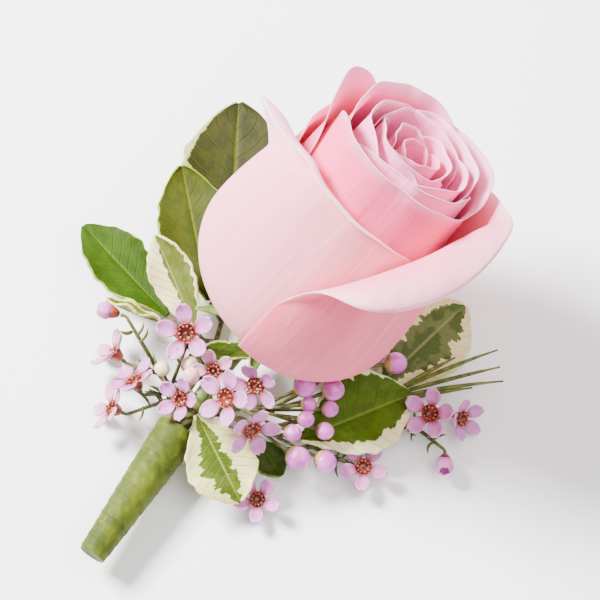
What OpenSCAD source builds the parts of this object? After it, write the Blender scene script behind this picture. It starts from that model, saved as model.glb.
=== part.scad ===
/* [Rose] */
// Height of the bloom, from its seat to the rim of its cup
rose_h = 57; // [55:0.5:60]
// Radius of the bloom at its belly
rose_r = 23; // [22.5:0.25:23.5]
// Thickness of every rose petal
petal_t = 0.45; // [0.35:0.05:0.5]
// Lean of the bloom from upright
rose_lean = 42.7; // [41:0.5:44]
// Turn of the bloom away from the line of the stem
rose_turn = 22.5; // [21:0.5:24]
// Radius of the rose's own stem
rose_stem_r = 1.7; // [1.5:0.1:1.9]
// Length of a sepal
sepal_len = 8.5; // [7.5:0.25:9]
// Width of a sepal at its root
sepal_w = 4.2; // [3.5:0.1:4.8]
// Thickness of a sepal
sepal_t = 0.4; // [0.3:0.05:0.5]

/* [Taped stem] */
// Length of the taped stem
tape_len = 31; // [28:1:34]
// Radius of the taped stem at its mouth
mouth_r = 4.6; // [4.4:0.1:4.8]
// Radius of the taped stem at its cut end
cut_r = 2.8; // [2.4:0.1:3.2]
// Height of one overlapping turn of the tape
tape_turn = 2.6; // [2:0.1:4]
// Step where one turn of tape lies on the next
tape_step = 0.15; // [0.1:0.05:0.2]
// Wall of tape round the stems at the mouth
tape_wall = 0.7; // [0.6:0.05:0.8]
// Depth of the mouth that takes the stems
mouth_depth = 3; // [2.5:0.1:3.5]

/* [Pin] */
// Radius of the pin's shaft
pin_r = 0.5; // [0.4:0.05:0.6]
// Length of the shaft's straight round part
pin_len = 17; // [14:1:19]
// Length of the pin's point
pin_point = 3; // [2:0.5:4]
// Radius of the bend between the pin's shaft and its leg
bend_r = 1.6; // [1.2:0.1:1.8]
// Space for cloth between the pin and the taped stem
cloth_gap = 1.6; // [1.5:0.1:2]

/* [Foliage] */
// Length of a full leaf
leaf_len = 38; // [36:0.5:39]
// Thickness of a leaf
leaf_t = 0.5; // [0.4:0.05:0.6]
// Radius of a leaf stalk
stalk_r = 0.6; // [0.5:0.05:0.7]

/* [Waxflower] */
// Diameter of an open floret
floret_d = 12; // [11:0.25:12.25]
// Thickness of a floret petal
floret_t = 0.5; // [0.4:0.05:0.6]
// Diameter of a bud
bud_d = 4.4; // [4:0.1:4.6]
// Radius of a waxflower twig
twig_r = 0.75; // [0.65:0.05:0.85]
// Radius of the stalk of a floret or a bud
floret_stalk_r = 0.35; // [0.3:0.05:0.4]
// Radius of a needle leaf
needle_r = 0.45; // [0.35:0.05:0.5]

/* [Spray] */
// Width that the places of the flowers, leaves and twigs are shares of
spread = 100; // [98:0.5:102]

/* [Hidden] */

// Gap that keeps neighbouring pieces apart
gap = 0.2;

// The pin lies along the stem, and its shaft starts at the origin
leg_y = bend_r;
leg_short = 1;
point_r = 0.05;

// Middle of the tape's mouth, which the spray follows
mouth_y = 6;
stem_z = pin_r + cloth_gap + mouth_r;
hub = [0, mouth_y, stem_z];
cut_y = mouth_y - tape_len;
taper_power = 0.8;
mouth_ring = (rose_stem_r + mouth_r - tape_wall) / 2;
mouth_run = 1.6;
mouth_flare = 0.1;
branch_share = 0.85;
knuckle = 1.1;

// Seat of the bloom, and the way it points
rose_at = place([0.029, 0.27, 0.053]);
rose_roll = -70.1;
rose_axis = facing(rose_lean, rose_turn);
seat_r = 6.5;
seat_top_r = 0.8;
seat_h = 14.6;
hip_h = 3.4;
hip_r = rose_stem_r + 0.5;
stem_straight = 0.11;
stem_steps = 5;
sepal_drop = 0.75;
sepal_bend = 1.6;
sepal_count = 5;
sepal_yaw = 20;

// Grids of the thin sheets
petal_across = 12;
petal_up = 8;
petal_curl = 3;
ring_across = 8;
ring_up = 7;
ring_curl = 1;
belly_rows = 4;
twist_rise = 6;
leaf_across = 6;
leaf_along = 8;
sepal_cells = 4;

// Rose petals, from the outside in.
// Columns: name, yaw of the middle, half width of the wrap, belly radius as a share of rose_r,
// belly height as a share of rose_h, rim radius as a share of rose_r, rim height as a share of rose_h,
// drop of the left and of the right edge as shares of the rim height, power of the drop,
// lip length and extra length at the tip as shares of rose_r, turn of the lip and of the tip,
// place of the tip across the petal and its width, twist of the radius across the petal,
// seat along the cone as a share of seat_h
PETALS = [
    ["guard_right", 78, 80, 0.97, 0.27, 0.84, 0.92, 0.62, 0.16, 1.5, 0.15, 0.62, 25, 180, -0.6, 0.55, 0.06,
        0],
    ["guard_left", -38, 84, 1, 0.29, 0.86, 0.79, 0.54, 0.06, 1.2, 0.11, 0.54, 120, 118, -0.5, 0.34, 0.08,
        0.07],
    ["guard_back_left", -128, 58, 0.92, 0.34, 0.83, 0.77, 0.3, 0.15, 2, 0.05, 0.1, 50, 60, 0, 0.4, 0, 0.13],
    ["guard_back", 192, 60, 0.88, 0.34, 0.795, 0.73, 0.3, 0.3, 2, 0.02, 0.16, 30, 80, -0.18, 0.22, 0, 0.18],
    ["tall_back", -106, 56, 0.845, 0.35, 0.75, 0.80, 0.25, 0.25, 2.0, 0.05, 0.42, 10, 34, 0.1, 0.85, 0, 0.24],
    ["cup_front", -6, 80, 0.81, 0.35, 0.705, 0.9, 0.05, 0, 3, 0.2, 0, 38, 38, 0, 0.35, 0, 0.29],
    ["cup_right", 135, 80, 0.77, 0.36, 0.66, 0.91, 0.15, 0.10, 3.0, 0.14, 0.04, 45, 55, 0, 0.35, 0, 0.35],
    ["cup_left", -140, 72, 0.735, 0.36, 0.625, 0.95, 0.12, 0.12, 3.0, 0.12, 0.02, 40, 40, 0, 0.35, 0, 0.40],
];

// One ring of petals for each row, from the outside in.
// Columns: name, yaw of the first petal, petals in the ring, half width, belly radius and step between
// petals as shares of rose_r, rim radius and step as shares of rose_r, rim height as a share of rose_h,
// lip length as a share of rose_r, turn of the lip, seat and step as shares of seat_h
RINGS = [
    ["outer_ring", 30, 3, 78, 0.70, 0.035, 0.585, 0.040, 0.965, 0.04, 40, 0.46, 0.055],
    ["middle_ring", 80, 3, 80, 0.595, 0.035, 0.465, 0.040, 0.965, 0.03, 45, 0.62, 0.05],
    ["inner_ring", 10, 3, 84, 0.49, 0.040, 0.34, 0.045, 0.955, 0.03, 45, 0.77, 0.045],
    ["heart", 60, 2, 125, 0.36, 0.060, 0.20, 0.070, 0.95, 0.02, 30, 0.90, 0.045],
];
ring_belly = 0.37;
ring_drop = 0.06;
ring_power = 3;

// Places below are shares of the spread, taken from the middle of the tape's mouth

// Leaves. Columns: name, colour, place of the foot, heading from the stem's line, rise, roll,
// length and width as shares of leaf_len, bend along the blade, cupping as a share of the width
LEAVES = [
    ["top", "#5f7a2c", [-0.115, 0.36, -0.05], -30, -2, -4, 0.96, 0.60, 10, 0.06],
    ["mid", "#7f962f", [-0.11, 0.275, -0.033], -44, 4, -6, 0.76, 0.38, 8, 0.10],
    ["far", "#5e9a1f", [-0.16, 0.20, -0.025], -76, 2, 8, 0.68, 0.33, 4, 0.10],
    ["half", "#c9cf9a", [-0.083, 0.19, 0.015], -56, 12, -12, 0.56, 0.24, 10, 0.12],
    ["edge", "#a8b45a", [-0.158, 0.172, 0.01], -108, 8, 60, 0.31, 0.17, 10, 0.15],
    ["under", "#8ea24c", [-0.06, 0.14, 0.036], 57, 2, -30, 0.33, 0.17, 0, 0.10],
    ["bottom", "#c8cf98", [0.025, 0.032, 0.06], 119, -14, 4, 0.52, 0.385, -18, 0.08],
    ["right", "#6a9a22", [0.215, 0.12, -0.01], 34, 2, 4, 0.64, 0.46, -4, 0.08],
    ["back", "#bfc694", [0.28, 0.305, -0.045], 12, 2, 4, 0.68, 0.46, -8, 0.06],
    ["low", "#4f6c26", [0.14, 0.075, -0.023], 112, -10, 0, 0.23, 0.18, -10, 0.08],
];

// Waxflower florets. Columns: name, twig, middle of the flower's face, lean and heading of its face,
// size as a share of floret_d, how far the petals close, point of the twig where its stalk starts
FLORETS = [
    ["front_left", "left", [-0.08, 0.155, 0.093], 20, 180, 1.00, 0, 2.2],
    ["left_high", "left", [-0.125, 0.03, 0.033], 45, -70, 0.90, 0, 1.9],
    ["left_low", "left", [-0.14, -0.032, -0.01], 55, -110, 0.85, 0, 1.7],
    ["left_pale", "left", [-0.205, 0.07, -0.017], 60, -90, 0.85, 10, 3],
    ["left_bell", "left", [-0.245, 0.125, 0.04], 75, -110, 0.70, 60, 3.5],
    ["left_dark", "left", [-0.016, 0.038, 0.073], 30, -150, 0.85, 15, 1.35],
    ["behind", "left", [0.005, 0.125, 0.07], 25, 170, 0.75, 0, 1.9],
    ["front_right", "middle", [0.10, 0.135, 0.107], 50, 175, 0.92, 0, 3.1],
    ["front_low", "middle", [0.07, 0.074, 0.132], 35, -150, 1.00, 0, 2.2],
    ["side", "middle", [0.138, 0.06, 0.081], 60, 120, 0.95, 0, 2.4],
    ["low", "right", [0.207, -0.027, -0.033], 15, 150, 0.80, 0, 2.3],
    ["right_high", "right", [0.408, 0.302, 0.013], 25, -160, 0.90, 0, 3.88],
    ["right_side", "right", [0.46, 0.34, -0.03], 50, 90, 0.80, 15, 4],
    ["right_bell", "right", [0.48, 0.245, -0.032], 60, 150, 0.75, 60, 3.95],
    ["right_low", "right", [0.349, 0.146, -0.031], 8, 150, 0.85, 0, 3.17],
];

// Buds. Columns: twig, middle, size as a share of bud_d, point of the twig where its stalk starts
BUDS = [
    ["middle", [0.177, 0.194, 0.079], 1.00, 3.55],
    ["middle", [0.226, 0.223, 0.063], 1.00, 3.95],
    ["middle", [0.20, 0.173, 0.054], 0.70, 3.45],
    ["middle", [0.24, 0.19, 0.047], 0.75, 3.75],
    ["middle", [0.213, 0.143, 0.057], 0.75, 3.35],
    ["middle", [0.205, 0.107, 0.049], 0.80, 3.25],
    ["middle", [0.254, 0.15, 0.033], 0.80, 3.65],
    ["middle_low", [0.238, 0.076, 0.023], 1.10, 0.8],
    ["middle_low", [0.285, 0.104, 0.007], 1.00, 0.97],
    ["bud_branch", [0.246, 0.346, -0.001], 0.90, 1.85],
    ["bud_branch", [0.294, 0.352, 0.019], 1.00, 1.97],
    ["left", [-0.024, 0.086, 0.087], 0.80, 1.5],
    ["left", [-0.046, 0.112, 0.059], 0.75, 1.75],
    ["left", [-0.087, 0.075, 0.059], 0.70, 2.35],
];

// Twigs and their branches. Columns: twig, angle at which it lies in the mouth or undef for a branch,
// points that it runs through, leaf that it ends at or undef
TWIGS = [
    ["foliage_left", 190, [[-0.035, 0.045, -0.033], [-0.04, 0.18, -0.045], [-0.08, 0.30, -0.05]], "top"],
    ["foliage_left", undef, [[-0.065, 0.255, -0.048]], "mid"],
    ["foliage_left", undef, [[-0.039, 0.15, -0.042], [-0.10, 0.18, -0.031]], "far"],
    ["foliage_left", undef, [[-0.05, 0.21, -0.046], [-0.065, 0.19, -0.012]], "half"],
    ["foliage_left", undef, [[-0.07, 0.165, -0.036]], "edge"],
    ["foliage_left", undef, [[-0.037, 0.11, -0.039], [-0.064, 0.13, 0.003]], "under"],
    ["foliage_right", 315, [[0.04, 0.036, -0.029], [0.14, 0.11, -0.037], [0.24, 0.22, -0.053]], "back"],
    ["foliage_right", undef, [[0.12, 0.095, -0.0354]], "right"],
    ["foliage_right", undef, [[0.09, 0.072, -0.033]], "low"],
    ["foliage_front", 113, [[-0.006, 0.026, 0.035], [0.004, 0.039, 0.046]], "bottom"],
    ["left", 148, [[-0.05, 0.06, 0.019], [-0.10, 0.08, -0.007], [-0.13, 0.10, -0.011]], undef],
    ["middle", 78, [[0.034, 0.04, 0.025], [0.06, 0.09, 0.015], [0.14, 0.14, 0.005]], undef],
    ["middle_low", undef, [[0.052, 0.074, 0.017], [0.14, 0.096, -0.007]], undef],
    ["bud_branch", undef, [[0.128, 0.132, 0.0065], [0.175, 0.23, -0.013], [0.195, 0.275, 0.017]], undef],
    ["right", 12, [[0.08, 0.034, -0.037], [0.2, 0.10, -0.06], [0.39, 0.29, -0.05]], undef],
];

// Needle leaves fan from a stalk that starts beside the right twig, at the point given of that twig.
// Columns: place of the tip, share of the stalk where the needle starts
needle_from = 3.62;
needle_root = [0.325, 0.333, -0.023];
NEEDLES = [
    [[0.387, 0.43, 0.013], 0.96],
    [[0.45, 0.49, 0.013], 0.9],
    [[0.472, 0.465, 0.003], 0.8],
    [[0.492, 0.446, -0.007], 0.7],
    [[0.447, 0.40, -0.007], 0.6],
];
needle_tip_r = 0.2;

// A floret's cup, and a closed floret's cup and bell.
// Outlines of radius and height, in shares of the floret's diameter
FLORET_CUP = [[0, -0.215], [0.075, -0.215], [0.175, 0.025], [0.133, 0.025], [0.075, -0.10], [0, -0.10]];
FLORET_BELL = [[0, -0.215], [0.075, -0.215], [0.175, 0.025], [0.205, 0.13], [0.15, 0.33], [0.11, 0.33],
    [0.16, 0.13], [0.133, 0.025], [0.075, -0.10], [0, -0.10]];
closed_from = 45;
cup_h = 0.215;
floret_hinge = 0.15;
floret_reach = 0.175;
floret_petal_r = 0.18;
floret_rise = 12;
floret_petals = 5;
stalk_straight = 1.2;
steepest = 0.25;

function clamp(x, lo, hi) = min(max(x, lo), hi);
function ease(t) = let(c = clamp(t, 0, 1)) c * c * (3 - 2 * c);
function flat(lists) = [for (part = lists) for (item = part) item];
function unit(v) = v / max(norm(v), 1e-6);
function row_of(table, name) = [for (row = table) if (row[0] == name) row][0];

// Places in the spray, from their shares of the spread
function place(p) = hub + p * spread;
function places(points) = [for (p = points) place(p)];

// Direction with a lean from upright and a heading from the stem's line
function facing(lean, heading) = [sin(lean) * sin(heading), sin(lean) * cos(heading), cos(lean)];

// Points on a curve that leaves a for b and arrives at c
function bow(a, b, c, n) = [for (k = [0 : n])
    let(t = k / n)
    a * pow(1 - t, 2) + b * 2 * t * (1 - t) + c * t * t];

// Closed skin of a sheet of points, given rows of points for its upper and its lower face
function sheet_faces(rows, cols) = let(n = rows * cols) concat(
    flat([for (i = [0 : rows - 2]) flat([for (j = [0 : cols - 2])
        let(a = i * cols + j, b = a + 1, c = a + cols + 1, d = a + cols)
        [[a, b, c], [a, c, d], [n + a, n + c, n + b], [n + a, n + d, n + c]]])]),
    flat([for (i = [0 : rows - 2])
        let(a = i * cols, d = a + cols, b = a + cols - 1, c = d + cols - 1)
        [[a, d, n + d], [a, n + d, n + a], [b, n + c, c], [b, n + b, n + c]]]),
    flat([for (j = [0 : cols - 2])
        let(a = j, b = j + 1, c = (rows - 1) * cols + j, d = c + 1)
        [[a, n + b, b], [a, n + a, n + b], [c, d, n + d], [c, n + d, n + c]]]));

// A sheet of thickness t around a grid of points, thickened along the grid's own normals
module sheet(grid, t) {
    rows = len(grid);
    cols = len(grid[0]);
    normals = [for (i = [0 : rows - 1]) [for (j = [0 : cols - 1])
        unit(cross(
            grid[min(i + 1, rows - 1)][j] - grid[max(i - 1, 0)][j],
            grid[i][min(j + 1, cols - 1)] - grid[i][max(j - 1, 0)]))]];
    upper = flat(grid + normals * (t / 2));
    lower = flat(grid - normals * (t / 2));
    polyhedron(concat(upper, lower), sheet_faces(rows, cols), convexity = 8);
}

// A round rod from p to q, or a cone when the radius at q is given too
module rod(p, q, r, end_r = undef) {
    d = q - p;
    translate(p) rotate([0, acos(d[2] / norm(d)), atan2(d[1], d[0])])
        cylinder(h = norm(d), r1 = r, r2 = end_r == undef ? r : end_r, $fn = 24);
}

// A slightly wider ball at a bend between two ways, its seam turned to the outer side of the bend
module knot(p, before, after, r) {
    way = unit(before) + unit(after);
    side = cross(before, after)[2] < 0 ? -1 : 1;
    translate(p) rotate([0, 0, atan2(way[1], way[0]) - side * 90])
        rotate([side * asin(way[2] / norm(way)), 0, 0]) sphere(r = knuckle * r, $fn = 24);
}

// A round stem through points, with a knot at each bend
module path(points, r) {
    for (k = [0 : len(points) - 2]) rod(points[k], points[k + 1], r);
    if (len(points) > 2) for (k = [1 : len(points) - 2])
        knot(points[k], points[k] - points[k - 1], points[k + 1] - points[k], r);
}

// Start of a petal beside the seat's cone, at a share of the cone's height
function seat(s) = [seat_r + (seat_top_r - seat_r) * s + gap + petal_t / 4, seat_h * s + petal_t / 2 + gap];

// A petal's meridian: a quarter ellipse out to the belly, then an easy curve up to the rim
function body_point(s, belly, rim, tau) = tau < 1
    ? [s[0] + (belly[0] - s[0]) * sin(90 * tau), s[1] + (belly[1] - s[1]) * (1 - cos(90 * tau))]
    : [belly[0] + (rim[0] - belly[0]) * ease(tau - 1), belly[1] + (rim[1] - belly[1]) * (tau - 1)];

// How far along its meridian a petal runs before its margin reaches height h
function body_end(s, belly, rim, h) = h > belly[1]
    ? 1 + (h - belly[1]) / (rim[1] - belly[1])
    : acos(1 - (h - s[1]) / (belly[1] - s[1])) / 90;

// Rows of a petal's grid lie at the same places up to the belly in every petal, so that they nest
function station(j, up, end) = end <= 1 ? end * j / up
    : j <= belly_rows ? j / belly_rows
    : 1 + (end - 1) * (j - belly_rows) / (up - belly_rows);

// A petal's grid: the body up to its margin, then a lip that turns outward on an arc
function petal_grid(yaw, half, s, belly, rim, drop, power, lip, turn, tip, twist, across, up, curl) =
    [for (i = [0 : across])
        let(
            u = -1 + 2 * i / across,
            margin = rim[1] * (1 - (u < 0 ? drop[0] : drop[1]) * pow(abs(u), power)),
            end = body_end(s, belly, rim, margin),
            phi = yaw + half * u,
            bump = exp(-pow((u - tip[0]) / tip[1], 2)),
            full = turn[0] + (turn[1] - turn[0]) * bump,
            rad = (lip[0] + lip[1] * bump) / (full * PI / 180),
            bend = full * (1 - pow(abs(u), 5)) + 1,
            last = body_point(s, belly, rim, end),
            before = body_point(s, belly, rim, end - 0.02),
            lean = atan2(last[1] - before[1], last[0] - before[0]))
        [for (j = [0 : up + curl])
            let(
                p = j < up ? body_point(s, belly, rim, station(j, up, end)) : last,
                a = bend * max(0, j - up) / curl,
                swell = 1 - twist * u * ease((p[1] - s[1]) / twist_rise),
                r = p[0] * swell + rad * (sin(lean) - sin(lean - a)),
                h = p[1] + rad * (cos(lean - a) - cos(lean)))
            [r * cos(phi), r * sin(phi), h]]];

module in_rose() {
    translate(rose_at) rotate([-rose_lean, 0, -rose_turn]) rotate([0, 0, rose_roll]) children();
}

module rose_petal(name) {
    q = row_of(PETALS, name);
    belly = [q[3] * rose_r, q[4] * rose_h];
    rim = [q[5] * rose_r, q[6] * rose_h];
    lip = [q[10] * rose_r, q[11] * rose_r];
    in_rose() sheet(petal_grid(q[1], q[2], seat(q[17]), belly, rim, [q[7], q[8]], q[9], lip, [q[12], q[13]],
        [q[14], q[15]], q[16], petal_across, petal_up, petal_curl), petal_t);
}

module rose_ring(name) {
    q = row_of(RINGS, name);
    in_rose() for (k = [0 : q[2] - 1]) {
        belly = [(q[4] - k * q[5]) * rose_r, ring_belly * rose_h];
        rim = [(q[6] - k * q[7]) * rose_r, q[8] * rose_h];
        sheet(petal_grid(q[1] + k * 360 / q[2], q[3], seat(q[11] + k * q[12]), belly, rim,
            [ring_drop, ring_drop], ring_power, [q[9] * rose_r, 0], [q[10], q[10]], [0, 1], 0,
            ring_across, ring_up, ring_curl), petal_t);
    }
}

module petal_guard_right() { color("#e79bb0") rose_petal("guard_right"); }
module petal_guard_left() { color("#efc6c8") rose_petal("guard_left"); }
module petal_guard_back_left() { color("#eeb4c0") rose_petal("guard_back_left"); }
module petal_guard_back() { color("#eeb4c0") rose_petal("guard_back"); }
module petal_tall_back() { color("#e5a9b8") rose_petal("tall_back"); }
module petal_cup_front() { color("#f4a6b9") rose_petal("cup_front"); }
module petal_cup_right() { color("#f0b4c4") rose_petal("cup_right"); }
module petal_cup_left() { color("#f59ab4") rose_petal("cup_left"); }
module petals_outer_ring() { color("#f68fae") rose_ring("outer_ring"); }
module petals_middle_ring() { color("#f583a6") rose_ring("middle_ring"); }
module petals_inner_ring() { color("#f3779e") rose_ring("inner_ring"); }
module petals_heart() { color("#f06c97") rose_ring("heart"); }

// The green seat under the bloom: a rounded hip, and inside the bloom a cone that the petals stand on
module rose_calyx() {
    color("#6f8f45") in_rose() rotate_extrude($fn = 64)
        polygon([[0, -hip_h], [hip_r, -hip_h], [0.65 * seat_r, -0.65 * hip_h], [0.9 * seat_r, -0.25 * hip_h],
            [seat_r, 0], [seat_top_r, seat_h], [0, seat_h]]);
}

// A sepal: narrow and pointed, spread under the bloom and turned down at its tip
function sepal_grid(yaw) = [for (i = [0 : sepal_cells]) [for (j = [0 : sepal_cells])
    let(
        u = -1 + 2 * i / sepal_cells,
        v = j / sepal_cells,
        w = sepal_w / 2 * (1 - 0.9 * pow(v, 1.5)),
        r = seat_r + gap / 2 + sepal_len * v)
    [r * cos(yaw) - u * w * sin(yaw), r * sin(yaw) + u * w * cos(yaw), -sepal_drop - sepal_bend * v * v]]];

module rose_sepals() {
    color("#7c9a4a") in_rose() for (k = [0 : sepal_count - 1])
        sheet(sepal_grid(sepal_yaw + k * 360 / sepal_count), sepal_t);
}

module rose_stem() {
    start = [0, mouth_y - mouth_depth + gap, stem_z];
    straight = place([0, stem_straight, 0]);
    end = rose_at - rose_axis * (hip_h + 2 * gap);
    knee = end - rose_axis * (end[2] - stem_z) / rose_axis[2];
    color("#7d9a4c") path(concat([start], bow(straight, knee, end, stem_steps)), rose_stem_r);
}

module tape_wrap() {
    turns = floor(tape_len / tape_turn);
    function radius(y) = cut_r + (mouth_r - cut_r) * pow(y / tape_len, taper_power);
    color("#8ea45a") difference() {
        translate([0, cut_y, stem_z]) rotate([-90, 0, 0]) rotate_extrude($fn = 96)
            polygon(concat([[0, 0]], flat([for (k = [0 : turns - 1])
                let(a = k * tape_len / turns, b = (k + 1) * tape_len / turns)
                [[radius(a), a], [radius(b) - tape_step, b]]]), [[0, tape_len]]));
        translate([0, mouth_y - mouth_depth, stem_z]) rotate([-90, 0, 0])
            cylinder(h = mouth_depth + gap, r = mouth_r - tape_wall, $fn = 64);
        translate([0, leg_y, 0]) cylinder(h = stem_z - leg_short + gap, r = pin_r + gap / 2, $fn = 48);
    }
}

// The pin: a leg held in the taped stem, a quarter bend, and the shaft with its point
module lapel_pin() {
    color("silver") {
        translate([0, leg_y, bend_r]) cylinder(h = stem_z - leg_short - bend_r, r = pin_r, $fn = 48);
        translate([0, 0, bend_r]) rotate([0, 90, 0]) rotate_extrude(angle = 90, $fn = 48)
            translate([bend_r, 0]) circle(r = pin_r, $fn = 48);
        rotate([90, 0, 0]) cylinder(h = pin_len, r = pin_r, $fn = 48);
        translate([0, -pin_len, 0]) rotate([90, 0, 0])
            cylinder(h = pin_point, r1 = pin_r, r2 = point_r, $fn = 48);
    }
}

// A leaf's grid: widest past its middle, blunt at its tip, bent along its length and cupped across it
function leaf_grid(length, width, bend, cup) = [for (i = [0 : leaf_across]) [for (j = [0 : leaf_along])
    let(
        u = -1 + 2 * i / leaf_across,
        v = j / leaf_along,
        half = max(stalk_r, width / 2 * pow(sin(180 * pow(v, 1.25) * 0.985 + 1.5), 0.75)),
        k = (bend == 0 ? 0.01 : bend) * PI / 180,
        y = length * sin(k * v * 180 / PI) / k,
        z = length * (1 - cos(k * v * 180 / PI)) / k)
    [u * half, y, z + 2 * cup * u * u * half]]];

module leaf(name) {
    q = row_of(LEAVES, name);
    color(q[1]) translate(place(q[2])) rotate([0, 0, -q[3]]) rotate([q[4], 0, 0]) rotate([0, q[5], 0])
        sheet(leaf_grid(q[6] * leaf_len, q[7] * leaf_len, q[8], q[9]), leaf_t);
}

module leaf_top() { leaf("top"); }
module leaf_mid() { leaf("mid"); }
module leaf_far() { leaf("far"); }
module leaf_half() { leaf("half"); }
module leaf_edge() { leaf("edge"); }
module leaf_under() { leaf("under"); }
module leaf_bottom() { leaf("bottom"); }
module leaf_right() { leaf("right"); }
module leaf_back() { leaf("back"); }
module leaf_low() { leaf("low"); }

// Where a twig lies in the mouth of the tape, round the rose's stem and spreading a little outward
function in_mouth(angle) =
    [for (end = [[mouth_ring - mouth_flare, gap - mouth_depth], [mouth_ring + mouth_flare, mouth_run]])
        hub + [end[0] * cos(angle), end[1], end[0] * sin(angle)]];

// The end of a leaf's stalk, a gap short of the leaf's foot
function foot(name, from) = let(at = place(row_of(LEAVES, name)[2]))
    at - unit(at - from) * (1.8 * gap + leaf_t / 2);

function way_of(q) = concat(q[1] == undef ? [] : in_mouth(q[1]), places(q[2]));

// A point on a twig: 0 is its first point, 1.5 lies halfway between its second and third
function on_twig(name, at) = let(way = way_of(row_of(TWIGS, name)), k = min(floor(at), len(way) - 2))
    way[k] + (way[k + 1] - way[k]) * (at - k);

// Where a stalk that heads for a point stands on its twig, a gap off the twig's bark
function stalk_root(name, at, to) = let(
        way = way_of(row_of(TWIGS, name)),
        k = min(floor(at), len(way) - 2),
        from = on_twig(name, at),
        slant = norm(cross(unit(to - from), unit(way[k + 1] - way[k]))),
        aside = (twig_r + floret_stalk_r + gap) / max(slant, steepest),
        clear = at == len(way) - 1 ? gap + floret_stalk_r : aside)
    from + unit(to - from) * clear;

module twigs(name, r) {
    for (q = TWIGS) if (q[0] == name) {
        way = way_of(q);
        size = q[1] == undef ? branch_share * r : r;
        path(q[3] == undef ? way : concat(way, [foot(q[3], way[len(way) - 1])]), size);
    }
}

// Stalks of the florets and the buds on a twig, each ending a gap short of what it carries
module floret_stalks(twig) {
    for (q = FLORETS) if (q[1] == twig) {
        axis = facing(q[3], q[4]);
        end = place(q[2]) - axis * (cup_h * q[5] * floret_d + gap);
        knee = end - axis * stalk_straight;
        path([stalk_root(twig, q[7], knee), knee, end], floret_stalk_r);
    }
}

module bud_stalks(twig) {
    for (q = BUDS) if (q[0] == twig) {
        to = place(q[1]);
        from = stalk_root(twig, q[3], to);
        rod(from, to - unit(to - from) * (bud_d * q[2] / 2 + gap), floret_stalk_r);
    }
}

module foliage_twig_left() { color("#6b6236") twigs("foliage_left", stalk_r); }
module foliage_twig_right() { color("#6b6236") twigs("foliage_right", stalk_r); }
module foliage_twig_front() { color("#6b6236") twigs("foliage_front", stalk_r); }

module sprig_left() {
    color("#6e7a3c") {
        twigs("left", twig_r);
        floret_stalks("left");
        bud_stalks("left");
    }
}

module sprig_middle() {
    color("#6e7a3c") {
        twigs("middle", twig_r);
        twigs("middle_low", twig_r);
        twigs("bud_branch", stalk_r);
        floret_stalks("middle");
        bud_stalks("middle");
        bud_stalks("middle_low");
        bud_stalks("bud_branch");
    }
}

module sprig_right() {
    color("#6b5a3a") {
        twigs("right", twig_r);
        floret_stalks("right");
    }
}

module needles() {
    twig = on_twig("right", needle_from);
    root = place(needle_root);
    start = twig + unit(root - twig) * (twig_r + needle_r + 4 * gap);
    color("#7d8a3a") {
        rod(start, root, 1.1 * needle_r);
        for (q = NEEDLES) rod(start + (root - start) * q[1], place(q[0]), needle_r, needle_tip_r);
    }
}

module bud_group(twig) {
    for (q = BUDS) if (q[0] == twig) translate(place(q[1])) sphere(d = bud_d * q[2], $fn = 32);
}

module buds_middle() {
    color("#d690d2") {
        bud_group("middle");
        bud_group("middle_low");
    }
}

module buds_right() { color("#c98ccc") bud_group("bud_branch"); }
module buds_left() { color("#d8d2a0") bud_group("left"); }

// A floret: a hollow cup with round petals that spread, or a cup with its petals closed to a bell
module floret(name) {
    q = row_of(FLORETS, name);
    d = q[5] * floret_d;
    closed = q[6] > closed_from;
    color("#d9a4cf") translate(place(q[2])) rotate([0, q[3], 90 - q[4]]) {
        rotate_extrude($fn = 32) polygon((closed ? FLORET_BELL : FLORET_CUP) * d);
        if (!closed) for (k = [0 : floret_petals - 1]) rotate([0, 0, k * 360 / floret_petals])
            translate([floret_hinge * d, 0, 0]) rotate([0, -floret_rise - q[6], 0])
                translate([floret_reach * d, 0, 0]) cylinder(h = floret_t, r = floret_petal_r * d, $fn = 32);
    }
}

module floret_front_left() { floret("front_left"); }
module floret_front_right() { floret("front_right"); }
module floret_front_low() { floret("front_low"); }
module floret_side() { floret("side"); }
module floret_low() { floret("low"); }
module floret_left_high() { floret("left_high"); }
module floret_left_low() { floret("left_low"); }
module floret_left_pale() { floret("left_pale"); }
module floret_left_dark() { floret("left_dark"); }
module floret_left_bell() { floret("left_bell"); }
module floret_behind() { floret("behind"); }
module floret_right_high() { floret("right_high"); }
module floret_right_side() { floret("right_side"); }
module floret_right_bell() { floret("right_bell"); }
module floret_right_low() { floret("right_low"); }

petal_guard_right();
petal_guard_left();
petal_guard_back_left();
petal_guard_back();
petal_tall_back();
petal_cup_front();
petal_cup_right();
petal_cup_left();
petals_outer_ring();
petals_middle_ring();
petals_inner_ring();
petals_heart();
rose_calyx();
rose_sepals();
rose_stem();
tape_wrap();
lapel_pin();
leaf_top();
leaf_mid();
leaf_far();
leaf_half();
leaf_edge();
leaf_under();
leaf_bottom();
leaf_right();
leaf_back();
leaf_low();
foliage_twig_left();
foliage_twig_right();
foliage_twig_front();
sprig_left();
sprig_middle();
sprig_right();
needles();
buds_middle();
buds_right();
buds_left();
floret_front_left();
floret_front_right();
floret_front_low();
floret_side();
floret_low();
floret_left_high();
floret_left_low();
floret_left_pale();
floret_left_dark();
floret_left_bell();
floret_behind();
floret_right_high();
floret_right_side();
floret_right_bell();
floret_right_low();
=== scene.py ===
import math

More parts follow.
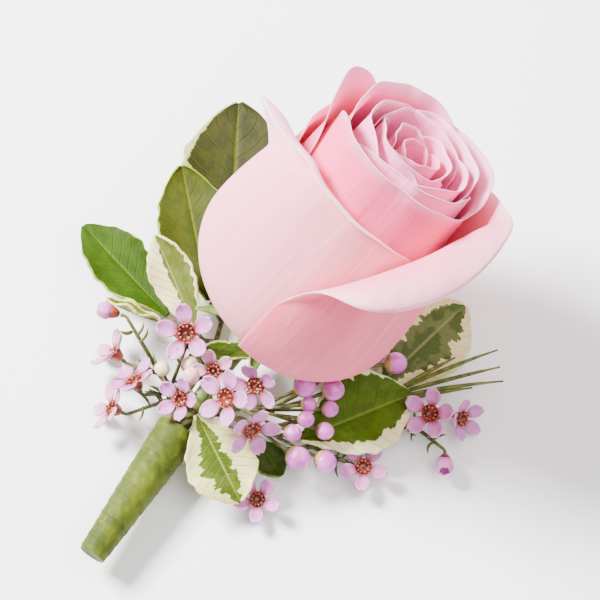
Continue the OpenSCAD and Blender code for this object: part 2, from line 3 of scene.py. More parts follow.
import bpy
import numpy as np
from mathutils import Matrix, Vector


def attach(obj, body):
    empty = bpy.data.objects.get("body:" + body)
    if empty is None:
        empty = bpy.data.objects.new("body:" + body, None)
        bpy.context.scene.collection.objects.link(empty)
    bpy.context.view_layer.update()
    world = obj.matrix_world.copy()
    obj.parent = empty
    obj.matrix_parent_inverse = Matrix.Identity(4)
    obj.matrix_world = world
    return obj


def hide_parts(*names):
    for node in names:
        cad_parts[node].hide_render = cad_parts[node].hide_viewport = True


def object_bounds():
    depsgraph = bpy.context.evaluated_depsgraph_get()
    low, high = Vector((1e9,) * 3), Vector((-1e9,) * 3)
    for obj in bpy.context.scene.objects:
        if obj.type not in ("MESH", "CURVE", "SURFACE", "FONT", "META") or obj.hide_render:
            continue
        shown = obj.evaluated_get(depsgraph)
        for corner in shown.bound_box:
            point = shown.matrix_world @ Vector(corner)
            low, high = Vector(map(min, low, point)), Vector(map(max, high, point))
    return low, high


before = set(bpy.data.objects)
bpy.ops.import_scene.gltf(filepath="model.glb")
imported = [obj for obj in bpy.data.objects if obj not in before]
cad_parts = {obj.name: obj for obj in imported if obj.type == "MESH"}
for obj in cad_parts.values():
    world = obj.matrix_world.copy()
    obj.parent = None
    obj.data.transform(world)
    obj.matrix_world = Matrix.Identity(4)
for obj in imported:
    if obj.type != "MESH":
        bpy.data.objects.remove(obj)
cad_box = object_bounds()

# Camera and light
# A straight view from above and a little in front, with soft light from the upper left,
# so that the spray's shadow falls to its lower right on a plain pale floor.
heading = math.radians(33)
elevation = math.radians(70)
distance = 0.7
view_width = 0.12
view_centre = Vector((0.0078, 0.0389, 0.019))
toward_camera = Vector((
    math.sin(heading) * math.cos(elevation),
    -math.cos(heading) * math.cos(elevation),
    math.sin(elevation),
))
image_right = Vector((math.cos(heading), math.sin(heading), 0))
image_up = toward_camera.cross(image_right)
up = Vector((0, 0, 1))


def aim(thing, target):
    """Turn a camera or a lamp so that it looks at the target."""
    thing.rotation_euler = (target - thing.location).to_track_quat("-Z", "Y").to_euler()


def added(name, data):
    """New object in the scene for a camera, a lamp or a mesh."""
    thing = bpy.data.objects.new(name, data)
    bpy.context.collection.objects.link(thing)
    return thing


camera = added("camera", bpy.data.cameras.new("camera"))
camera.location = view_centre + distance * toward_camera
camera.data.angle = 2 * math.atan(view_width / 2 / distance)
aim(camera, view_centre)
bpy.context.scene.camera = camera


def soft_lamp(name, offset, size, power):
    """Add a square area lamp at an offset from the view's centre, turned to that centre."""
    lamp = added(name, bpy.data.lights.new(name, "AREA"))
    lamp.data.size = size
    lamp.data.energy = power
    lamp.location = view_centre + offset
    aim(lamp, view_centre)


soft_lamp("key", -0.4 * image_right + 0.28 * image_up + 0.42 * up, size=0.22, power=27)
soft_lamp("fill", 0.22 * image_right - 0.1 * image_up + 0.6 * up, size=0.5, power=4.5)

world = bpy.data.worlds.new("studio")
world.use_nodes = True
background = world.node_tree.nodes["Background"].inputs
background["Color"].default_value = (1, 1, 1, 1)
background["Strength"].default_value = 0.5
bpy.context.scene.world = world


def linear(value):
    """A plain number as it is, or the linear colour of an eight-bit screen colour."""
    if not isinstance(value, tuple):
        return value
    screen = np.array(value) / 255
    return (*np.where(screen <= 0.04045, screen / 12.92, ((screen + 0.055) / 1.055) ** 2.4), 1)


def feed(tree, value, socket):
    """Link a socket's value, or write a plain number or colour."""
    if isinstance(value, bpy.types.NodeSocket):
        tree.links.new(value, socket)
    else:
        socket.default_value = value


def maths(tree, operation, *values):
    """Output of a Math node fed with sockets or numbers."""
    node = tree.nodes.new("ShaderNodeMath")
    node.operation = operation
    for value, socket in zip(values, node.inputs):
        feed(tree, value, socket)
    return node.outputs[0]


def mix(tree, share, first, second):
    """Colour between two colours, by a share from 0 to 1."""
    node = tree.nodes.new("ShaderNodeMix")
    node.data_type = "RGBA"
    colour_inputs = [socket for socket in node.inputs if socket.type == "RGBA"]
    feed(tree, share, node.inputs[0])
    feed(tree, first, colour_inputs[0])
    feed(tree, second, colour_inputs[1])
    return next(socket for socket in node.outputs if socket.type == "RGBA")


def blend(tree, value, low, high):
    """Smooth step from 0 at low to 1 at high."""
    node = tree.nodes.new("ShaderNodeMapRange")
    node.interpolation_type = "SMOOTHSTEP"
    feed(tree, value, node.inputs["Value"])
    feed(tree, low, node.inputs["From Min"])
    feed(tree, high, node.inputs["From Max"])
    return node.outputs["Result"]


def noise(tree, where, scale, detail=2.0):
    """Noise from 0 to 1 read at a vector."""
    node = tree.nodes.new("ShaderNodeTexNoise")
    tree.links.new(where, node.inputs["Vector"])
    node.inputs["Scale"].default_value = scale
    node.inputs["Detail"].default_value = detail
    return node.outputs[0]


def stretched(tree, where, factors):
    """A vector multiplied by three factors, so that what is read there is drawn out."""
    node = tree.nodes.new("ShaderNodeVectorMath")
    node.operation = "MULTIPLY"
    tree.links.new(where, node.inputs[0])
    node.inputs[1].default_value = factors
    return node.outputs["Vector"]


def across_and_along(tree):
    """The piece's own UV as a vector, its place across and its place along."""
    node = tree.nodes.new("ShaderNodeUVMap")
    split = tree.nodes.new("ShaderNodeSeparateXYZ")
    tree.links.new(node.outputs["UV"], split.inputs[0])
    return node.outputs["UV"], split.outputs["X"], split.outputs["Y"]


def own_place(tree):
    """Place in the piece's own frame, in metres."""
    return tree.nodes.new("ShaderNodeTexCoord").outputs["Object"]


def group(name, inputs):
    """Node group whose inputs are named screen colours and numbers and whose outputs are a colour and
    a height, with the sockets of its inner start and of its inner end."""
    tree = bpy.data.node_groups.new(name, "ShaderNodeTree")
    for label, value in inputs.items():
        kind = "NodeSocketColor" if isinstance(value, tuple) else "NodeSocketFloat"
        tree.interface.new_socket(label, in_out="INPUT", socket_type=kind).default_value = linear(value)
    tree.interface.new_socket("Color", in_out="OUTPUT", socket_type="NodeSocketColor")
    tree.interface.new_socket("Height", in_out="OUTPUT", socket_type="NodeSocketFloat")
    return tree, tree.nodes.new("NodeGroupInput").outputs, tree.nodes.new("NodeGroupOutput").inputs


def give(tree, end, colour, height):
    """Link a colour and a height to a group's end, which completes the group."""
    tree.links.new(colour, end["Color"])
    tree.links.new(height, end["Height"])
    return tree


def finish(name, pattern, colours, shader_values, relief=0.0):
    """Material whose colour comes from a node group with the colours given, and whose relief in
    metres comes from the group's height."""
    material = bpy.data.materials.new(name)
    material.use_nodes = True
    tree = material.node_tree
    shader = tree.nodes["Principled BSDF"]
    for socket, value in shader_values.items():
        shader.inputs[socket].default_value = value
    shared = tree.nodes.new("ShaderNodeGroup")
    shared.node_tree = pattern
    for socket, value in colours.items():
        shared.inputs[socket].default_value = linear(value)
    tree.links.new(shared.outputs["Color"], shader.inputs["Base Color"])
    if relief:
        bump = tree.nodes.new("ShaderNodeBump")
        bump.inputs["Distance"].default_value = relief
        tree.links.new(shared.outputs["Height"], bump.inputs["Height"])
        tree.links.new(bump.outputs["Normal"], shader.inputs["Normal"])
    return material


# The floor: plain pale paper, level with the lowest point of the spray.
floor_half = 1.0
floor_z = cad_box[0][2]


def paper_pattern():
    """Even paper: a white that wavers a little."""
    tree, take, end = group("paper", {"White": (254, 254, 254), "Shade": (252, 252, 252)})
    waver = noise(tree, own_place(tree), 6.0)
    return give(tree, end, mix(tree, waver, take["White"], take["Shade"]), waver)


floor_mesh = bpy.data.meshes.new("floor")
floor_mesh.from_pydata(
    [(x * floor_half, y * floor_half, floor_z) for x, y in ((-1, -1), (1, -1), (1, 1), (-1, 1))],
    [], [(0, 1, 2, 3)])
floor_mesh.materials.append(finish("floor_paper", paper_pattern(), {}, {"Roughness": 0.9}))
floor = added("floor", floor_mesh)

# The rose's petals
# Thin soft petals that stand one inside the other on the seat of the bloom. Each is a sheet that
# swells to a belly and draws in to its margin, where it rolls outward; the margin is the thinnest part.
rose_h = 0.057
rose_r = 0.023
petal_t = 0.00045
petal_gap = 0.0002
spread = 0.1
hub = np.array([0, 0.006, 0.0067])
rose_at = hub + spread * np.array([0.029, 0.27, 0.053])
rose_lean, rose_turn, rose_roll = 42.7, 22.5, -70.1
seat_r, seat_top_r, seat_h = 0.0065, 0.0008, 0.0146
margin_thinness = 0.45
ruffle, ruffle_from = 0.00035, 0.35
twist_rise, slope_step = 0.006, 0.02

# Least and most waves of both ruffles across a petal, and of their phases
ruffle_low, ruffle_high = (1.5, 3.5, 0, 0), (2.5, 5.5, 6.3, 6.3)

# Columns: name, yaw of the middle, half width of the wrap, belly radius and height, rim radius and
# height, drop of the left and right edge, power of the drop, lip length and extra at the tip, turn of
# the lip and of the tip, place of the tip and its width, twist, seat along the cone
PETALS = [
    ("guard_right", 78, 80, 0.97, 0.27, 0.84, 0.92, 0.62, 0.16, 1.5, 0.15, 0.62, 25, 180, -0.6, 0.55,
     0.06, 0),
    ("guard_left", -38, 84, 1, 0.29, 0.86, 0.79, 0.54, 0.06, 1.2, 0.11, 0.54, 120, 118, -0.5, 0.34,
     0.08, 0.07),
    ("guard_back_left", -128, 58, 0.92, 0.34, 0.83, 0.77, 0.3, 0.15, 2, 0.05, 0.1, 50, 60, 0, 0.4, 0, 0.13),
    ("guard_back", 192, 60, 0.88, 0.34, 0.795, 0.73, 0.3, 0.3, 2, 0.02, 0.16, 30, 80, -0.18, 0.22, 0, 0.18),
    ("tall_back", -106, 56, 0.845, 0.35, 0.75, 0.8, 0.25, 0.25, 2, 0.05, 0.42, 10, 34, 0.1, 0.85, 0, 0.24),
    ("cup_front", -6, 80, 0.81, 0.35, 0.705, 0.9, 0.05, 0, 3, 0.2, 0, 38, 38, 0, 0.35, 0, 0.29),
    ("cup_right", 135, 80, 0.77, 0.36, 0.66, 0.91, 0.15, 0.1, 3, 0.14, 0.04, 45, 55, 0, 0.35, 0, 0.35),
    ("cup_left", -140, 72, 0.735, 0.36, 0.625, 0.95, 0.12, 0.12, 3, 0.12, 0.02, 40, 40, 0, 0.35, 0, 0.4),
]

# Columns: name, yaw of the first petal, petals, half width, belly radius and step, rim radius and step,
# rim height, lip length, turn of the lip, seat and step
RINGS = [
    ("outer_ring", 30, 3, 78, 0.7, 0.035, 0.585, 0.04, 0.965, 0.04, 40, 0.46, 0.055),
    ("middle_ring", 80, 3, 80, 0.595, 0.035, 0.465, 0.04, 0.965, 0.03, 45, 0.62, 0.05),
    ("inner_ring", 10, 3, 84, 0.49, 0.04, 0.34, 0.045, 0.955, 0.03, 45, 0.77, 0.045),
    ("heart", 60, 2, 125, 0.36, 0.06, 0.2, 0.07, 0.95, 0.02, 30, 0.9, 0.045),
]
ring_belly, ring_drop, ring_power = 0.37, 0.06, 3
ring_seed, ring_seed_step = 20, 5


def turned(points, axis, angle):
    """Points turned round the x, y or z axis by an angle in degrees."""
    first, second = {"x": (1, 2), "y": (2, 0), "z": (0, 1)}[axis]
    c, s = math.cos(math.radians(angle)), math.sin(math.radians(angle))
    out = points.copy()
    out[..., first] = c * points[..., first] - s * points[..., second]
    out[..., second] = s * points[..., first] + c * points[..., second]
    return out


def in_rose(points):
    """From the bloom's own upright frame to its lean and turn on the stem."""
    rolled = turned(points, "z", rose_roll)
    return turned(turned(rolled, "x", -rose_lean), "z", -rose_turn) + rose_at


def eased(t):
    """Smooth step of t between 0 and 1."""
    t = np.clip(t, 0, 1)
    return t * t * (3 - 2 * t)


def grid_lines(across, along):
    """Places across from -1 to 1 as a column and places along from 0 to 1 as a row."""
    return np.linspace(-1, 1, across + 1)[:, None], np.linspace(0, 1, along + 1)[None, :]


def meridian(foot, belly, rim, tau):
    """Radius and height at tau: a quarter ellipse from the foot to the belly at 1, then a line up to
    the rim at 2 whose radius is eased."""
    lower = np.radians(90 * np.minimum(tau, 1))
    radius = np.where(tau < 1, foot[0] + (belly[0] - foot[0]) * np.sin(lower),
                      belly[0] + (rim[0] - belly[0]) * eased(tau - 1))
    height = np.where(tau < 1, foot[1] + (belly[1] - foot[1]) * (1 - np.cos(lower)),
                      belly[1] + (rim[1] - belly[1]) * (tau - 1))
    return radius, height


def petal_grid(yaw, half, seat, belly, rim, drop, power, lip, turn, tip, twist, cells, seed):
    """Points of a petal, u across from -1 to 1 and t along. Its margin's height falls from the rim's by
    drop times |u| to a power, and past the margin the sheet turns outward on an arc of the lip's length.
    The twist swells one side's radius and shrinks the other's, and a low ruffle grows to the margin."""
    across, up, curl = cells
    foot = (seat_r + (seat_top_r - seat_r) * seat + petal_gap + petal_t / 4,
            seat_h * seat + petal_t / 2 + petal_gap)
    u, t = grid_lines(across, up)
    margin = rim[1] * (1 - np.where(u < 0, drop[0], drop[1]) * np.abs(u) ** power)
    low_end = np.degrees(np.arccos(np.clip(1 - (margin - foot[1]) / (belly[1] - foot[1]), -1, 1))) / 90
    end = np.where(margin > belly[1], 1 + (margin - belly[1]) / (rim[1] - belly[1]), low_end)
    tau = np.where(end <= 1, end * t, np.where(t <= 0.5, 2 * t, 1 + (end - 1) * (2 * t - 1)))
    radius, height = meridian(foot, belly, rim, tau)

    bump = np.exp(-(((u - tip[0]) / tip[1]) ** 2))
    full = turn[0] + (turn[1] - turn[0]) * bump
    arc = (lip[0] + lip[1] * bump) / np.radians(full)
    bend = full * (1 - np.abs(u) ** 5) + 1
    r1, h1 = meridian(foot, belly, rim, end)
    r0, h0 = meridian(foot, belly, rim, end - slope_step)
    lean = np.arctan2(h1 - h0, r1 - r0)
    a = np.radians(bend) * np.linspace(0, 1, curl + 1)[None, 1:]
    radius = np.concatenate([radius, r1 + arc * (np.sin(lean) - np.sin(lean - a))], axis=1)
    height = np.concatenate([height, h1 + arc * (np.cos(lean - a) - np.cos(lean))], axis=1)
    body = np.minimum(height, h1)
    swell = 1 - twist * u * eased((body - foot[1]) / twist_rise)
    arc_rise = np.concatenate([np.zeros((1, up + 1)), np.ones((1, curl))], axis=1)
    radius = np.where(arc_rise > 0, r1 * swell + (radius - r1), radius * swell)

    waves = np.random.default_rng(seed).uniform(ruffle_low, ruffle_high)
    along = grid_lines(across, up + curl)[1]
    rise = eased((along - ruffle_from) / (1 - ruffle_from))
    wave = np.sin(waves[0] * np.pi * u + waves[2]) + 0.5 * np.sin(waves[1] * np.pi * u + waves[3])
    radius = radius + ruffle * rise * wave
    phi = np.radians(yaw + half * u)
    return np.stack([radius * np.cos(phi), radius * np.sin(phi), height], axis=-1)


def sheet(grid, thickness):
    """Closed skin round a grid: the grid is moved half the thickness to both sides along its normals,
    and a band of quads joins both sides round the margin."""
    rows, cols, _ = grid.shape
    normal = np.cross(np.gradient(grid, axis=0), np.gradient(grid, axis=1))
    normal /= np.maximum(np.linalg.norm(normal, axis=2, keepdims=True), 1e-12)
    offset = normal * np.broadcast_to(thickness, (rows, cols))[..., None] / 2
    points = np.concatenate([(grid + offset).reshape(-1, 3), (grid - offset).reshape(-1, 3)])
    index = np.arange(rows * cols).reshape(rows, cols)
    a, b, c, d = index[:-1, :-1], index[:-1, 1:], index[1:, 1:], index[1:, :-1]
    upper = np.stack([a, d, c, b], axis=-1).reshape(-1, 4)
    lower = np.stack([a, b, c, d], axis=-1).reshape(-1, 4) + rows * cols
    p = np.concatenate([index[:, 0], index[-1, 1:], index[-2::-1, -1], index[0, -2:0:-1]])
    q = np.roll(p, -1)
    band = np.stack([q, p, p + rows * cols, q + rows * cols], axis=-1)
    u, v = np.meshgrid(np.linspace(0, 1, rows), np.linspace(0, 1, cols), indexing="ij")
    uv = np.tile(np.stack([u, v], axis=-1).reshape(-1, 2), (2, 1))
    side = np.repeat([0.0, 1.0], rows * cols)
    return points, [upper, lower, band], uv, side


def joined(parts):
    """One skin from several: points, faces, UV and side, set one after the other."""
    points, faces, uv, side = [], [], [], []
    total = 0
    for part in parts:
        points.append(part[0])
        faces += [block + total for block in part[1]]
        uv.append(part[2])
        side.append(part[3])
        total += len(part[0])
    return np.concatenate(points), faces, np.concatenate(uv), np.concatenate(side)


def piece(name, parts, materials, replaced):
    """Smooth mesh from skins, one material for each skin, that stands for a CAD node."""
    points, blocks, uv, side = joined(parts)
    faces = [face for block in blocks for face in block.tolist()]
    mesh = bpy.data.meshes.new(name)
    mesh.from_pydata(points, [], faces)
    corners = np.empty(len(mesh.loops), dtype=np.int32)
    mesh.loops.foreach_get("vertex_index", corners)
    mesh.uv_layers.new(name="UVMap").data.foreach_set("uv", uv[corners].ravel())
    mesh.attributes.new("side", "FLOAT", "POINT").data.foreach_set("value", side)
    counts = [sum(len(block) for block in part[1]) for part in parts]
    mesh.polygons.foreach_set("material_index", np.repeat(np.arange(len(parts)), counts))
    mesh.polygons.foreach_set("use_smooth", np.ones(len(faces), dtype=bool))
    for material in materials:
        mesh.materials.append(material)
    thing = added(name, mesh)
    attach(thing, "root")
    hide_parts(replaced)
    return thing


def petal_pattern():
    """A petal's colours: cream-green at the foot, one colour outside and one inside, a pale margin,
    and fine veins that run lengthwise."""
    tree, take, end = group("petal_pattern", {
        "Foot": (214, 214, 170), "Outer": (240, 205, 208), "Inner": (240, 150, 180),
        "Margin": (250, 225, 230), "Foot reach": 0.3, "Margin from": 0.8, "Veins": 0.25})
    uv, _, v = across_and_along(tree)
    side = tree.nodes.new("ShaderNodeAttribute")
    side.attribute_name = "side"
    uneven = noise(tree, own_place(tree), 140.0)
    body = mix(tree, side.outputs["Fac"], take["Outer"], take["Inner"])
    near = maths(tree, "ADD", v, maths(tree, "MULTIPLY", uneven, 0.12))
    body = mix(tree, blend(tree, near, take["Margin from"], 1.08), body, take["Margin"])
    veins = noise(tree, stretched(tree, uv, (34.0, 2.4, 1.0)), 1.0, detail=4.0)
    streaks = maths(tree, "MULTIPLY", blend(tree, veins, 0.45, 0.75), take["Veins"])
    body = mix(tree, streaks, body, take["Inner"])
    foot = maths(tree, "ADD", v, maths(tree, "MULTIPLY", veins, 0.18))
    foot = maths(tree, "SUBTRACT", 1.0, blend(tree, foot, 0.06, take["Foot reach"]))
    creases = noise(tree, stretched(tree, uv, (16.0, 3.0, 1.0)), 1.0, detail=3.0)
    height = maths(tree, "ADD", maths(tree, "MULTIPLY", veins, 0.6), creases)
    return give(tree, end, mix(tree, foot, body, take["Foot"]), height)


petals = petal_pattern()
petal_shader = {
    "Roughness": 0.62, "Subsurface Weight": 0.3, "Subsurface Radius": (1.0, 0.35, 0.3),
    "Subsurface Scale": 0.0018, "Specular IOR Level": 0.16,
}
cream = (226, 214, 180)

# Each petal's colours, reach of the foot's colour, start of the margin and share of the veins
PETAL_SOCKETS = ("Outer", "Inner", "Margin", "Foot", "Foot reach", "Margin from", "Veins")
PETAL_COLOURS = {
    "guard_right": ((228, 104, 130), (246, 132, 162), (250, 176, 192), (206, 150, 116), 0.4, 0.92, 0.45),
    "guard_left": ((242, 146, 162), (250, 186, 204), (251, 194, 208), (214, 164, 140), 0.46, 0.8, 0.25),
    "guard_back_left": ((242, 124, 154), (248, 148, 178), (250, 186, 204), cream, 0.4, 0.8, 0.2),
    "guard_back": ((242, 124, 154), (248, 142, 176), (248, 186, 204), cream, 0.4, 0.8, 0.2),
    "tall_back": ((232, 88, 140), (234, 100, 152), (238, 148, 182), cream, 0.4, 0.88, 0.25),
    "cup_front": ((248, 94, 142), (250, 104, 154), (252, 160, 192), cream, 0.42, 0.86, 0.25),
    "cup_right": ((250, 110, 156), (252, 134, 180), (252, 176, 204), cream, 0.4, 0.82, 0.2),
    "cup_left": ((250, 100, 152), (252, 118, 168), (252, 164, 198), cream, 0.4, 0.82, 0.2),
    "outer_ring": ((252, 128, 180), (252, 132, 184), (253, 180, 210), cream, 0.3, 0.82, 0.2),
    "middle_ring": ((252, 124, 178), (252, 126, 180), (253, 176, 208), cream, 0.3, 0.84, 0.2),
    "inner_ring": ((252, 118, 174), (252, 120, 176), (252, 170, 204), cream, 0.3, 0.86, 0.2),
    "heart": ((250, 110, 168), (250, 112, 168), (252, 162, 198), cream, 0.3, 0.88, 0.2),
}


def petal_finish(name):
    """The petal pattern with one petal's own colours."""
    colours = dict(zip(PETAL_SOCKETS, PETAL_COLOURS[name]))
    return finish("petal_" + name, petals, colours, petal_shader, relief=0.00025)


def petal_thickness(cells):
    """A petal's thickness on its grid, thinning to the margin and to both side edges."""
    across, up, curl = cells
    u, v = grid_lines(across, up + curl)
    thin = np.maximum(eased((np.abs(u) - 0.8) / 0.2), eased((v - 0.75) / 0.25))
    return petal_t * (1 - (1 - margin_thinness) * thin)


petal_cells = (96, 56, 14)
for number, row in enumerate(PETALS):
    (name, yaw, half, belly_r, belly_h, rim_r, rim_h, drop_left, drop_right, power,
     lip, lip_more, turn, tip_turn, tip_at, tip_width, twist, seat) = row
    grid = petal_grid(
        yaw, half, seat, (belly_r * rose_r, belly_h * rose_h), (rim_r * rose_r, rim_h * rose_h),
        (drop_left, drop_right), power, (lip * rose_r, lip_more * rose_r), (turn, tip_turn),
        (tip_at, tip_width), twist, petal_cells, number)
    piece("petal_" + name + "_surface", [sheet(in_rose(grid), petal_thickness(petal_cells))],
          [petal_finish(name)], "petal_" + name)

ring_cells = (64, 40, 6)
for number, row in enumerate(RINGS):
    (name, yaw, count, half, belly_r, belly_step, rim_r, rim_step, rim_h, lip, turn, seat, seat_step) = row
    skins = []
    for k in range(count):
        belly = ((belly_r - k * belly_step) * rose_r, ring_belly * rose_h)
        rim = ((rim_r - k * rim_step) * rose_r, rim_h * rose_h)
        grid = petal_grid(
            yaw + k * 360 / count, half, seat + k * seat_step, belly, rim, (ring_drop, ring_drop),
            ring_power, (lip * rose_r, 0), (turn, turn), (0, 1), 0, ring_cells,
            ring_seed + ring_seed_step * number + k)
        skins.append(sheet(in_rose(grid), petal_thickness(ring_cells)))
    piece("petals_" + name + "_surface", [joined(skins)], [petal_finish(name)], "petals_" + name)

# The bloom's seat, its sepals and its stem
# The green hip under the bloom, five narrow sepals spread under the petals and turned down at their
# tips, and the smooth stem that bends down into the tape. The hip stays the CAD node.
sepal_len, sepal_w, sepal_t = 0.0085, 0.0042, 0.0004
sepal_drop, sepal_bend, sepal_cup = 0.00075, 0.0016, 0.0004
sepal_yaw, sepal_count = 20, 5
sepal_cells = (12, 16)
hip_h = 0.0034
rose_stem_r = 0.0017
stem_sunk, stem_clear = 0.0028, 0.0004
stem_bend_share, stem_points = (0, 0.11, 0), 24
corner_points, corner_share = 7, 0.45
off_axis = (0.31, 0.52, 0.79)


def mottled_pattern():
    """Two tones that mingle in soft spots, whose size the grain sets."""
    tree, take, end = group("mottled", {
        "Light": (200, 200, 200), "Dark": (120, 120, 120), "Low": 0.4, "High": 0.6, "Grain": 600.0})
    spots = noise(tree, own_place(tree), 1.0, detail=4.0)
    tree.links.new(take["Grain"], spots.node.inputs["Scale"])
    share = blend(tree, spots, take["Low"], take["High"])
    return give(tree, end, mix(tree, share, take["Dark"], take["Light"]), spots)


mottled = mottled_pattern()


def mottled_finish(name, light, dark, grain, shader_values, relief=0.0):
    """The mottled pattern with its own two tones and grain."""
    return finish(name, mottled, {"Light": light, "Dark": dark, "Grain": grain}, shader_values, relief)


def skin(rings):
    """Closed skin over rings of points: bands of quads between neighbours, and a fan of triangles to
    the middle of the first and of the last ring."""
    count, around, _ = rings.shape
    index = np.arange(count * around).reshape(count, around)
    after = np.roll(index, -1, axis=1)
    bands = np.stack([index[:-1], after[:-1], after[1:], index[1:]], axis=-1).reshape(-1, 4)
    first = np.full(around, count * around)
    start = np.stack([first, after[0], index[0]], axis=-1)
    end = np.stack([first + 1, index[-1], after[-1]], axis=-1)
    points = np.concatenate([rings.reshape(-1, 3), rings[:1].mean(axis=1), rings[-1:].mean(axis=1)])
    v, u = np.meshgrid(np.linspace(0, 1, count), np.linspace(0, 1, around), indexing="ij")
    uv = np.concatenate([np.stack([u, v], axis=-1).reshape(-1, 2), [[0.5, 0], [0.5, 1]]])
    return points, [bands, start, end], uv, np.zeros(len(points))


def full_turn(count):
    """Angles in equal steps round a full turn."""
    return np.linspace(0, 2 * np.pi, count, endpoint=False)


def unit(vector):
    """A vector's direction, of length 1."""
    return vector / np.linalg.norm(vector)


def lathe(outline, around, waves=0, depth=0.0):
    """Closed skin of an outline of radius and height turned round z, its radius swelling and shrinking
    by a share of itself in a number of waves."""
    outline = np.asarray(outline, dtype=float)
    angle = full_turn(around)[None, :]
    radius = outline[:, :1] * (1 + depth * np.cos(waves * angle))
    height = np.broadcast_to(outline[:, 1:], radius.shape)
    return skin(np.stack([radius * np.cos(angle), radius * np.sin(angle), height], axis=-1))


def tube(points, radii, around=12):
    """Closed skin round a path: a ring of its radius square to the path at every point, carried along
    without twist from a first direction that no path runs in."""
    points = np.asarray(points, dtype=float)
    way = np.gradient(points, axis=0)
    way /= np.linalg.norm(way, axis=1, keepdims=True)
    side = np.cross(way[0], off_axis)
    sides = []
    for direction in way:
        side = unit(side - direction * side.dot(direction))
        sides.append(side)
    first = np.array(sides)[:, None]
    second = np.cross(way[:, None], first)
    angle = full_turn(around)[None, :, None]
    ring = first * np.cos(angle) + second * np.sin(angle)
    return skin(points[:, None] + np.broadcast_to(radii, len(points))[:, None, None] * ring)


def arc_through(a, b, c, count):
    """Points of the curve that leaves a for b and arrives at c."""
    t = np.linspace(0, 1, count)[:, None]
    return a * (1 - t) ** 2 + b * 2 * t * (1 - t) + c * t * t


def rounded(points, reach):
    """A path whose inner corners are rounded from a reach before to a reach after each, but no farther
    than a share of the way to the next point."""
    points = [np.asarray(p, dtype=float) for p in points]
    out = [points[0][None]]
    for before, corner, after in zip(points, points[1:], points[2:]):
        back, on = before - corner, after - corner
        near = min(reach, corner_share * np.linalg.norm(back), corner_share * np.linalg.norm(on))
        out.append(arc_through(corner + unit(back) * near, corner, corner + unit(on) * near, corner_points))
    return np.concatenate(out + [points[-1][None]])


def facing(lean, heading):
    """Direction with a lean from upright and a heading from the stem's line, in degrees."""
    lean, heading = math.radians(lean), math.radians(heading)
    level = math.sin(lean)
    return np.array([level * math.sin(heading), level * math.cos(heading), math.cos(lean)])


def place(share):
    """A place in the spray, from its shares of the spread."""
    return hub + spread * np.asarray(share)


def sepal_grid(yaw):
    """A sepal's points: v outward from the seat and u across. It narrows with v to the power 1.5, drops
    with v squared and is cupped with u squared."""
    u, v = grid_lines(*sepal_cells)
    half = sepal_w / 2 * (1 - 0.9 * v ** 1.5)
    radius = seat_r + petal_gap / 2 + sepal_len * v
    c, s = math.cos(math.radians(yaw)), math.sin(math.radians(yaw))
    height = -sepal_drop - sepal_bend * v * v + sepal_cup * u * u
    return np.stack([radius * c - u * half * s, radius * s + u * half * c, height], axis=-1)


green_shader = {
    "Roughness": 0.5, "Specular IOR Level": 0.4, "Subsurface Weight": 0.1, "Subsurface Scale": 0.001,
}
stem_green = mottled_finish(
    "stem_green", (130, 154, 72), (104, 128, 52), 500.0, green_shader, relief=0.0001)
calyx_green = mottled_finish(
    "calyx_green", (120, 146, 78), (92, 120, 52), 700.0, green_shader, relief=0.0001)
sepals = [sheet(in_rose(sepal_grid(sepal_yaw + k * 360 / sepal_count)), sepal_t)
          for k in range(sepal_count)]
piece("sepals", [joined(sepals)], [calyx_green], "rose_sepals")

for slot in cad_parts["rose_calyx"].material_slots:
    slot.material = calyx_green

rose_axis = facing(rose_lean, rose_turn)
stem_start = hub - np.array([0, stem_sunk, 0])
stem_end = rose_at - rose_axis * (hip_h + stem_clear)
stem_knee = stem_end - rose_axis * (stem_end[2] - hub[2]) / rose_axis[2]
stem_bend = arc_through(place(stem_bend_share), stem_knee, stem_end, stem_points)
stem_path = np.concatenate([stem_start[None], stem_bend])
piece("bloom_stem", [tube(stem_path, rose_stem_r, around=24)], [stem_green], "rose_stem")

# The taped stem
# All the stems are bound together in waxed green crepe tape, wound upward in overlapping turns that
# leave a low step along a spiral, with fine creases along the pull.
tape_len, tape_turn, tape_step, tape_wall = 0.031, 0.0026, 0.00015, 0.0007
mouth_r, cut_r, mouth_depth = 0.0046, 0.0028, 0.003
taper_power = 0.8
crease_depth, crease_seed, crease_count = 0.00003, 7, 9
tape_cells = (260, 96)
cut_y = hub[1] - tape_len

# Least and most of a crease's number round the stem, its pitch along it and its phase
crease_low, crease_high = (3, -2600, 0), (15, 2600, 6.3)


def tape_rings():
    """Rings of the wound stem: the radius grows from the cut end by a power of the way along, falls by a
    step once in every turn of the spiral, and wavers in seeded creases."""
    y = np.linspace(0, tape_len, tape_cells[0])[:, None]
    angle = full_turn(tape_cells[1])[None, :]
    radius = cut_r + (mouth_r - cut_r) * (y / tape_len) ** taper_power
    radius = radius - tape_step * np.mod(y / tape_turn + angle / (2 * np.pi), 1.0)
    chance = np.random.default_rng(crease_seed)
    for count, pitch, phase in chance.uniform(crease_low, crease_high, (crease_count, 3)):
        radius = radius + crease_depth / 2 * np.sin(round(count) * angle + pitch * y + phase)
    way = cut_y + y + 0 * angle
    return np.stack([radius * np.sin(angle), way, hub[2] + radius * np.cos(angle)], axis=-1)


def drawn_in(ring, steps):
    """Rings drawn in from one ring of the tape, each to a share of its radius and shifted along y."""
    middle = np.array([0, 1, 0]) * ring[:, 1:2] + np.array([0, 0, hub[2]])
    return np.stack([middle + (ring - middle) * share + np.array([0, shift, 0]) for share, shift in steps])


